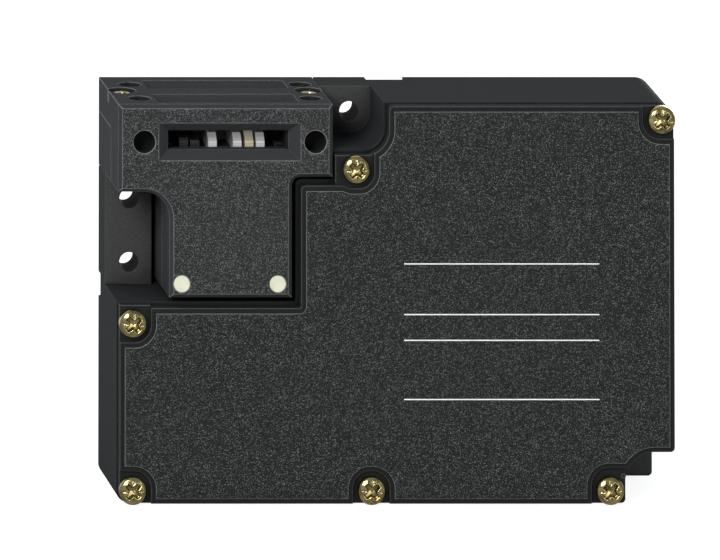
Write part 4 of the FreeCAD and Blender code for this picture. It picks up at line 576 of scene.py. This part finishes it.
def bare_metal(name, metal, lines, dull, stretch=STRIP_LINES, relief=LINE_RELIEF,
               shadowed_left_of=None):
    """The last argument is an X in millimetres: left of it, the metal is painted nearly black as a
    shadow.
    """
    material, tree, shader, place = start_material(name)
    strip = place_group(tree, drawn, Vector=place, Stretch=stretch, Metal=metal, Line_Tone=lines,
                        Dull=dull)
    edge = place_group(tree, edges, Radius=METAL_EDGE)
    # painted highlight along the edges
    metal_highlight = paler(metal, *METAL_HIGHLIGHT_LIFT)
    colour = blend_colours(tree, times(tree, edge["Mask"], BRIGHT_EDGE), strip["Color"], metal_highlight)
    # painted shadow: left of the given X the metal is painted nearly black, a little less on edges
    if shadowed_left_of is not None:
        shadow_side = calculate(tree, "LESS_THAN", component(tree, place, "X"), shadowed_left_of * MM)
        shadow_amount = calculate(tree, "MULTIPLY_ADD", edge["Mask"], -SHADOW_EDGE_LOSS, SHADOW_SHARE)
        colour = blend_colours(tree, times(tree, shadow_side, shadow_amount), colour, DISC_SHADOW)
    shader.inputs["Metallic"].default_value = 1.0
    finish_surface(tree, shader, colour, strip["Roughness"], strip["Height"], relief,
                   edge["Normal"])
    return material


# name, metal, tone of its lines, dullness, and for some: stretch, relief, where a painted shadow
# ends
METALS = (
    ("disc_steel", (0.95, 0.94, 0.92), (0.76, 0.75, 0.73), 0.45, STRIP_LINES, LINE_RELIEF, -44.6),
    ("disc_yellow", (0.92, 0.85, 0.64), (0.74, 0.67, 0.46), 0.42),
    ("bolt_steel", (0.58, 0.58, 0.58), (0.45, 0.45, 0.45), 0.3),
    ("yoke_steel", (0.50, 0.51, 0.52), (0.38, 0.39, 0.40), 0.42),
    ("axle_steel", (0.64, 0.64, 0.65), (0.50, 0.50, 0.51), 0.22),
    ("spring_steel", (0.60, 0.60, 0.60), (0.45, 0.45, 0.45), 0.28, WIRE_LINES),
    ("terminal_steel", (0.66, 0.66, 0.64), (0.52, 0.52, 0.50), 0.3),
    ("contact_silver", (0.82, 0.81, 0.78), (0.70, 0.68, 0.64), 0.25),
    ("clamp_brass", (0.78, 0.60, 0.28), (0.62, 0.46, 0.20), 0.32),
    ("copper_wire", (0.70, 0.32, 0.16), (0.42, 0.16, 0.07), 0.3, COIL_LINES, TURN_RELIEF))
for values in METALS:
    bare_metal(*values)
print("bare metals", len(METALS))

# %% [markdown]
# ### One finish for each solid
#
# The record says which slot of finish every solid belongs to, so the materials are handed out by
# that name.

# %% Hand out the finishes
slot_of = {entry["node"]: entry["material_slot"] for entry in frame["record"]["subparts"]}
finishes = {slot: bpy.data.materials[slot] for slot in set(slot_of.values())}
for name, solid in nodes.items():
    solid.data.materials.append(finishes[slot_of[name]])
print("finishes given to", len(nodes), "solids")

# %% [markdown]
# ## Screws
#
# Six pan-head screws hold the cover and two smaller ones hold the head together. Each head is
# struck with a cross recess and four hairline ticks between its arms, and the punch raises a faint
# lip round the recess. The surface of such a head can be written down as one height over every
# point, so it is a function here: the dome, less recess and ticks, with the lip on top. All sizes
# are in millimetres.

# %% The struck head
RINGS, STEPS = 40, 128
HEAD_RADIUS, HEAD_HEIGHT, RIM_HEIGHT, CHAMFER = 3.2, 2.4, 1.2, 0.12
DOME_FULLNESS, RING_SPREAD = 2.6, 0.85
SHANK_RADIUS, SHANK_LENGTH, TIP_SHARE = 1.45, 11.8, 0.6
THREAD_TURNS, THREAD_START, THREAD_DEPTH = 8, 1.5, 0.25
THREAD_RUN = SHANK_LENGTH - 2.5
RECESS_DEPTH, RECESS_WALL, RECESS_RISE = 1.4, 0.34, 0.28
ARM_HALF_WIDTH, ARM_TAPER, ARM_REACH, CORE_RADIUS = 0.78, 0.10, 2.10, 1.12
LIP_HEIGHT, LIP_OUT, LIP_WIDTH = 0.12, 0.16, 0.13
TICK_DEPTH, TICK_WIDTH, TICK_START, TICK_END = 0.18, (0.14, 0.03), (1.3, 1.45), (2.5, 2.3)


def smooth(low, high, amount):
    """0 at low, 1 at high, smooth between them."""
    share = min(1.0, max(0.0, (amount - low) / (high - low)))
    return share * share * (3 - 2 * share)


def struck(x, y):
    """How far the punch moved the metal down at a point: recess, ticks and raised lip."""
    along, across = max(abs(x), abs(y)), min(abs(x), abs(y))
    out = math.hypot(x, y)
    arm = min(ARM_HALF_WIDTH - ARM_TAPER * along - across, ARM_REACH - along)
    inside = max(arm, CORE_RADIUS - out)
    recess = RECESS_DEPTH * smooth(0.0, RECESS_WALL, inside) * (1.0 - RECESS_RISE * along)
    lip = LIP_HEIGHT * math.exp(-((inside + LIP_OUT) / LIP_WIDTH) ** 2)
    off_diagonal = abs(abs(x) - abs(y)) / math.sqrt(2)
    tick = (TICK_DEPTH * smooth(*TICK_WIDTH, off_diagonal) * smooth(*TICK_START, out)
            * smooth(*TICK_END, out))
    return recess + tick - lip


def head_height(radius, turn):
    """The height of the head's surface: a flat dome on its rim, less what the punch moved."""
    fall = (radius / HEAD_RADIUS) ** DOME_FULLNESS
    dome = (HEAD_HEIGHT - RIM_HEIGHT) * max(0.0, 1 - fall) ** 0.5
    return RIM_HEIGHT + dome - struck(radius * math.cos(turn), radius * math.sin(turn))


print("bottom of the recess", round(head_height(0.0, 0.0), 2), "mm over the land")

# %% [markdown]
# ### Turned meshes
#
# A turned part is the same all round its axis, apart from what is struck into it. It is drawn as
# rings of points, one for each step of its profile, with a skin from ring to ring.

# %% Helpers for turned meshes


def ring(mesh, radius, height):
    """A ring of points; the height is a number, or a function of radius and angle."""
    points = []
    for step in range(STEPS):
        turn = 2 * math.pi * step / STEPS
        level = height(radius, turn) if callable(height) else height
        place = Vector((radius * math.cos(turn), radius * math.sin(turn), level)) * MM
        points.append(mesh.verts.new(place))
    return points


def skin(mesh, rings):
    """Faces from ring to ring, and a fan that closes each end."""
    for inner, outer in zip(rings, rings[1:]):
        for step in range(STEPS):
            after = (step + 1) % STEPS
            mesh.faces.new((inner[step], outer[step], outer[after], inner[after]))
    for last in (rings[0], rings[-1]):
        middle = mesh.verts.new(sum((point.co for point in last), Vector()) / STEPS)
        for step in range(STEPS):
            mesh.faces.new((last[step], last[(step + 1) % STEPS], middle))
    bmesh.ops.recalc_face_normals(mesh, faces=mesh.faces)


def to_object(name, edit):
    """The edited mesh as an object outside the scene, ready to be copied by a node tree."""
    mesh = bpy.data.meshes.new(name)
    edit.to_mesh(mesh)
    edit.free()
    mesh.polygons.foreach_set("use_smooth", [True] * len(mesh.polygons))
    return bpy.data.objects.new(name, mesh)


print("points in a ring:", STEPS)

# %% [markdown]
# ### One screw
#
# The rings of the head lie closer towards its rim, where the dome falls steeply. Then come the
# chamfered edge, the flat seat, and a shank whose thread is only hinted at by shallow grooves,
# because it is hidden in the case.

# %% One screw
turned = bmesh.new()
rings = [ring(turned, HEAD_RADIUS * math.sin(math.pi / 2 * number / RINGS) ** RING_SPREAD,
              head_height)
         for number in range(1, RINGS + 1)]
rings.append(ring(turned, HEAD_RADIUS, CHAMFER))
rings.append(ring(turned, HEAD_RADIUS - CHAMFER, 0.0))
rings.append(ring(turned, SHANK_RADIUS, 0.0))
for number in range(THREAD_TURNS):
    level = -THREAD_START - THREAD_RUN * number / THREAD_TURNS
    rings.append(ring(turned, SHANK_RADIUS, level))
    rings.append(ring(turned, SHANK_RADIUS - THREAD_DEPTH, level - THREAD_DEPTH))
rings.append(ring(turned, SHANK_RADIUS * TIP_SHARE, -SHANK_LENGTH))
skin(turned, rings)
screw = to_object("screw_pattern", turned)
print("one screw:", len(screw.data.polygons), "faces")

# %% [markdown]
# ### Trees that grow a piece
#
# Whatever repeats is grown by a tree of Geometry Nodes from a few points, because its sizes are
# then inputs that can be tried out, and one tree serves several pieces. A few helpers start a tree,
# make a rotation, end the tree in one joined mesh with its finish, and bake the result, because an
# exported model keeps neither trees nor copies by reference.

# %% Trees that grow a piece


def start_tree(name, inputs):
    """A geometry tree: points and named inputs go in, and the piece comes out."""
    return start_group(name, {"Geometry": ("Geometry", None), **inputs},
                       {"Geometry": "Geometry"}, "GeometryNodeTree")


def turned_by(tree, **angles):
    """A rotation from angles round the axes."""
    euler = put(tree, "ShaderNodeCombineXYZ", angles).outputs[0]
    return put(tree, "FunctionNodeEulerToRotation", {0: euler}).outputs[0]


def close_tree(tree, geometry, given, result):
    """Every tree ends alike: copies made real, and the finish set."""
    real = put(tree, "GeometryNodeRealizeInstances", {"Geometry": geometry}).outputs[0]
    dressed = put(tree, "GeometryNodeSetMaterial", {"Geometry": real, "Material": given["Finish"]})
    tree.links.new(dressed.outputs[0], result[0])


def grow(name, tree, points, **inputs):
    """A piece grown by a tree from a few points (in metres), baked into a plain mesh."""
    start = bpy.data.meshes.new(name + "_places")
    start.from_pydata([tuple(point) for point in points], [], [])
    piece = bpy.data.objects.new(name, start)
    bpy.context.scene.collection.objects.link(piece)
    grower = piece.modifiers.new("grow", "NODES")
    grower.node_group = tree
    sockets = {item.name: item.identifier for item in tree.interface.items_tree
               if item.in_out == "INPUT"}
    for label, value in inputs.items():
        grower[sockets[label.replace("_", " ")]] = value
    grown = piece.evaluated_get(bpy.context.evaluated_depsgraph_get())
    baked = bpy.data.meshes.new_from_object(grown)
    piece.modifiers.remove(grower)
    piece.data = baked
    baked.name = name
    bpy.data.meshes.remove(start)
    print(name, len(baked.polygons), "faces")
    return piece


print("ready to grow")

# %% [markdown]
# ### Screws on their places
#
# One tree sets a copy of the screw on every place. It takes the screw, its size, its tilt out of
# the upright, the turn of its cross, and how much that turn differs from screw to screw: nobody
# stops six screws at the same angle.

# %% Screws on their places
COVER_LAND = 1.2
HEAD_LAND, HEAD_SCREW_DEPTH = 87.4, 16.0

on_places, given, result = start_tree("screws_on_places", {
    "Screw": ("Object", None), "Size": ("Float", 1.0), "Tilt": ("Float", 0.0),
    "Turn": ("Float", 0.0), "Turn Spread": ("Float", 0.1), "Seed": ("Int", 4),
    "Finish": ("Material", None)})
pattern = put(on_places, "GeometryNodeObjectInfo", {"Object": given["Screw"]}).outputs["Geometry"]
copies = put(on_places, "GeometryNodeInstanceOnPoints", {
    "Points": given["Geometry"], "Instance": pattern,
    "Rotation": turned_by(on_places, X=given["Tilt"]), "Scale": given["Size"]}).outputs[0]
chance = put(on_places, "FunctionNodeRandomValue", {
    2: times(on_places, given["Turn Spread"], -1.0), 3: given["Turn Spread"],
    "Seed": given["Seed"]}, data_type="FLOAT").outputs[1]
turned_copies = put(on_places, "GeometryNodeRotateInstances", {
    "Instances": copies, "Local Space": True,
    "Rotation": turned_by(on_places, Z=calculate(on_places, "ADD", given["Turn"], chance))})
close_tree(on_places, turned_copies.outputs[0], given, result)

cover_places = [at(x, COVER_LAND, z) for x, z in (
    (-61.7, 3.3), (-6.05, 3.3), (49.6, 3.3), (61.7, 86.7), (-9.6, 75.5), (-61.7, 40.8))]
head_places = [at(x, HEAD_SCREW_DEPTH, HEAD_LAND) for x in (-61.8, -18.1)]
for node, slot, places, size, tilt, turn, spread, seed in (
        ("cover_screws", "yellow_zinc", cover_places, 1.0, 90, 45, 0.12, 4),
        ("head_screws", "head_screw_steel", head_places, 0.87, 0, 20, 0.5, 7)):
    piece = grow("struck_" + node, on_places, places, Screw=screw, Size=size,
                 Tilt=math.radians(tilt), Turn=math.radians(turn), Turn_Spread=spread, Seed=seed,
                 Finish=finishes[slot])
    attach(piece, "housing")
    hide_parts(node)
bpy.data.objects.remove(screw)

# %% [markdown]
# ## Ring mark
#
# The mould leaves a small raised ring on the land of the lower right screw. It is turned like the
# screw, from a few rings of points, and set with the same tree.

# %% Ring mark
turned = bmesh.new()
profile = ((0.36, 0.01), (0.42, 0.09), (0.47, 0.11), (0.53, 0.11), (0.58, 0.09), (0.62, 0.0),
           (0.6, -0.03))
skin(turned, [ring(turned, radius, height) for radius, height in profile])
mark = to_object("mark_pattern", turned)
ring_mark = grow("ring_mark", on_places, [at(52.8, COVER_LAND, 6.3)], Screw=mark, Size=1.0,
                 Tilt=QUARTER_TURN, Turn=0.0, Turn_Spread=0.0, Seed=1,
                 Finish=finishes["cover_plastic"])
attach(ring_mark, "housing")
bpy.data.objects.remove(mark)

# %% [markdown]
# ## Springs
#
# Three coil springs work inside: one lifts the switching slide, one pushes the lock bolt home and
# one brings the monitor's tappet back. Each is wound from steel wire, and its end turns lie close
# so that it stands square on its seat. One tree sweeps the wire along a spiral whose rise slows
# down at both ends. Each spring stands on one body and pushes another.

# %% Springs
CLOSED_ENDS = 0.5
WIRE = 0.7 * MM

wound, given, result = start_tree("wound_spring", {
    "Turns": ("Float", 5.0), "Length": ("Float", 0.009), "Radius": ("Float", 0.003),
    "Wire": ("Float", 0.0007), "Lean": ("Float", 0.0), "Finish": ("Material", None)})
rise = calculate(wound, "SUBTRACT", given["Length"], given["Wire"])
path_radius = calculate(wound, "MULTIPLY_ADD", given["Wire"], -0.5, given["Radius"])
spiral = put(wound, "GeometryNodeCurveSpiral", {
    "Resolution": 40, "Rotations": given["Turns"], "Start Radius": path_radius,
    "End Radius": path_radius, "Height": rise}).outputs[0]
share = wound.nodes.new("GeometryNodeSplineParameter").outputs["Factor"]
wave = calculate(wound, "SINE", times(wound, share, 2 * math.pi))
slower = times(wound, wave, -CLOSED_ENDS / (2 * math.pi), rise)
lift = calculate(wound, "MULTIPLY_ADD", given["Wire"], 0.5, slower)
laid = put(wound, "GeometryNodeSetPosition", {
    "Geometry": spiral, "Offset": put(wound, "ShaderNodeCombineXYZ", {"Z": lift}).outputs[0]})
section = put(wound, "GeometryNodeCurvePrimitiveCircle", {
    "Resolution": 14, "Radius": times(wound, given["Wire"], 0.5)}, mode="RADIUS")
swept = put(wound, "GeometryNodeCurveToMesh", {
    "Curve": laid.outputs[0], "Profile Curve": section.outputs[0], "Fill Caps": True})
standing = put(wound, "GeometryNodeInstanceOnPoints", {
    "Points": given["Geometry"], "Instance": swept.outputs[0],
    "Rotation": turned_by(wound, Y=given["Lean"])})
close_tree(wound, standing.outputs[0], given, result)

for node, seat, way, length, radius, turns, stands_on, pushes in (
        ("return_spring", at(34.0, 15.0, 39.1), ACROSS, 9.3, 3.2, 6, "housing", "bolt"),
        ("slide_spring", at(-39.0, 15.0, 2.5), UP, 6.5, 2.8, 4, "housing", "slide"),
        ("tappet_spring", at(58.6, 15.0, 39.1), ACROSS, 3.9, 1.3, 4, "tappet", "housing")):
    spring = grow("wound_" + node, wound, [seat], Turns=float(turns), Length=length * MM,
                  Radius=radius * MM, Wire=WIRE, Lean=QUARTER_TURN * way.x,
                  Finish=finishes["spring_steel"])
    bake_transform(spring)
    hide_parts(node)

# %% [markdown]
# ## Ruled lines
#
# The cover carries four fine printed lines. Ink stands a hundredth or two above the plastic and its
# ends are round, so each line is a closed film: an outline with rounded ends, filled, thickened and
# set on its row by one tree.

# %% Ruled lines
LINE_LEFT, LINE_RIGHT = 1.5, 47.1
LINE_ROWS = (54.3, 42.9, 37.1, 23.8)
INK_ROOT = 0.005
LINE_WIDTH, INK_THICKNESS = 0.28 * MM, 0.03 * MM
ROUND_END = 0.48
WELD = 0.001 * MM

ruled, given, result = start_tree("ruled_lines", {
    "Length": ("Float", 0.04), "Width": ("Float", 0.0003), "Thickness": ("Float", 0.00002),
    "Finish": ("Material", None)})
outline = put(ruled, "GeometryNodeCurvePrimitiveQuadrilateral", {
    "Width": given["Length"], "Height": given["Width"]}, mode="RECTANGLE").outputs[0]
round_ends = put(ruled, "GeometryNodeFilletCurve", {
    "Curve": outline, "Count": 6, "Radius": times(ruled, given["Width"], ROUND_END)}, mode="POLY")
back = put(ruled, "GeometryNodeFillCurve", {"Curve": round_ends.outputs[0]},
           mode="NGONS").outputs[0]
front = put(ruled, "GeometryNodeExtrudeMesh", {
    "Mesh": back, "Offset Scale": given["Thickness"], "Individual": False}, mode="FACES").outputs[0]
flipped = put(ruled, "GeometryNodeFlipFaces", {"Mesh": back}).outputs[0]
both_sides = ruled.nodes.new("GeometryNodeJoinGeometry")
ruled.links.new(front, both_sides.inputs[0])
ruled.links.new(flipped, both_sides.inputs[0])
closed_film = put(ruled, "GeometryNodeMergeByDistance", {
    "Geometry": both_sides.outputs[0], "Distance": WELD}).outputs[0]
rows = put(ruled, "GeometryNodeInstanceOnPoints", {
    "Points": given["Geometry"], "Instance": closed_film,
    "Rotation": turned_by(ruled, X=QUARTER_TURN)}).outputs[0]
close_tree(ruled, rows, given, result)

row_places = [at((LINE_LEFT + LINE_RIGHT) / 2, INK_ROOT, row) for row in LINE_ROWS]
lines = grow("ruled_lines", ruled, row_places, Length=(LINE_RIGHT - LINE_LEFT) * MM,
             Width=LINE_WIDTH, Thickness=INK_THICKNESS, Finish=line_ink)
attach(lines, "housing")

# %% [markdown]
# ## Floor
#
# The switch is shown on pure white paper. A lit sheet would throw its light back at the black
# plastic, so this one is mid grey for the light and glows white only for the camera, and for
# mirrored rays that meet it behind the switch.

# %% Floor
FLOOR_REACH = 6.0
PAPER_BEHIND = (0.0, 0.3)
FLOOR_GREY = (0.50, 0.50, 0.50, 1)
FLOOR_GLOW = 0.85


def seen_white(tree, behind):
    """1 for rays of the camera, and for mirrored ones as far as they go behind the switch."""
    rays = tree.nodes.new("ShaderNodeLightPath").outputs
    mirrored = calculate(tree, "MAXIMUM", rays["Is Glossy Ray"], rays["Is Transmission Ray"])
    return calculate(tree, "MAXIMUM", rays["Is Camera Ray"], times(tree, mirrored, behind))


floor_mesh = bpy.data.meshes.new("floor")
floor_edit = bmesh.new()
bmesh.ops.create_grid(floor_edit, x_segments=8, y_segments=8, size=FLOOR_REACH)
floor_edit.to_mesh(floor_mesh)
floor_edit.free()
floor = bpy.data.objects.new("floor", floor_mesh)
bpy.context.scene.collection.objects.link(floor)
floor_paint, tree, shader, place = start_material("floor_paint")
shader.inputs["Base Color"].default_value = FLOOR_GREY
shader.inputs["Roughness"].default_value = 0.9
white = seen_white(tree, ramp_between(tree, component(tree, place, "Y"), *PAPER_BEHIND))
glow = put(tree, "ShaderNodeEmission", {
    "Color": (1, 1, 1, 1), "Strength": times(tree, white, FLOOR_GLOW)})
both = put(tree, "ShaderNodeAddShader", {0: shader.outputs[0], 1: glow.outputs[0]})
tree.links.new(both.outputs[0], tree.nodes["Material Output"].inputs["Surface"])
floor_mesh.materials.append(floor_paint)
print("floor laid")

# %% [markdown]
# ## Room and background
#
# The background is white in the same way. For all other rays the world is a dim room, a little
# brighter in front of the switch than behind it.

# %% Room and background
ROOM_FRONT, ROOM_BEHIND = (0.30, 0.32, 0.34), (0.10, 0.12, 0.13)
ROOM_CHANGE, WHITE_BEHIND = (-0.1, 0.6), (0.0, 0.5)

world = bpy.data.worlds.new("studio")
bpy.context.scene.world = world
world.use_nodes = True
sky = world.node_tree
backdrop = sky.nodes["Background"]
way = component(sky, sky.nodes.new("ShaderNodeTexCoord").outputs["Generated"], "Y")
room = blend_colours(sky, ramp_between(sky, way, *ROOM_CHANGE), ROOM_FRONT, ROOM_BEHIND)
white = seen_white(sky, ramp_between(sky, way, *WHITE_BEHIND))
sky.links.new(blend_colours(sky, white, room, (1, 1, 1)), backdrop.inputs["Color"])
backdrop.inputs["Strength"].default_value = 1.0
print("room set")

# %% [markdown]
# ## Lamps
#
# Two soft lamps light the switch from the front: the key from the upper left and a weaker fill from
# the right. A low strip behind it lights only the back, so that it doesn't glare on the top.

# %% Lamps


def soft_lamp(name, where, toward, size, power):
    """A rectangular lamp: its place, the point it looks at, its sides in metres, its watts."""
    data = bpy.data.lights.new(name, "AREA")
    data.shape = "RECTANGLE"
    data.size, data.size_y = size
    data.energy = power
    lamp = bpy.data.objects.new(name, data)
    bpy.context.scene.collection.objects.link(lamp)
    lamp.location = where
    lamp.rotation_euler = (Vector(toward) - Vector(where)).to_track_quat("-Z", "Y").to_euler()


soft_lamp("key", where=(-0.50, -0.75, 0.52), toward=(-0.02, 0, 0.06), size=(0.4, 0.4), power=8.8)
soft_lamp("fill", where=(0.6, -0.8, 0.25), toward=(0, 0, 0.04), size=(0.5, 0.5), power=2.5)
soft_lamp("back", where=(0.25, 0.9, 0.045), toward=(0, 0, 0.045), size=(0.7, 0.08), power=3.5)
print("lamps", len(bpy.data.lights))

# %% Finish
bpy.context.scene.view_settings.view_transform = "Standard"
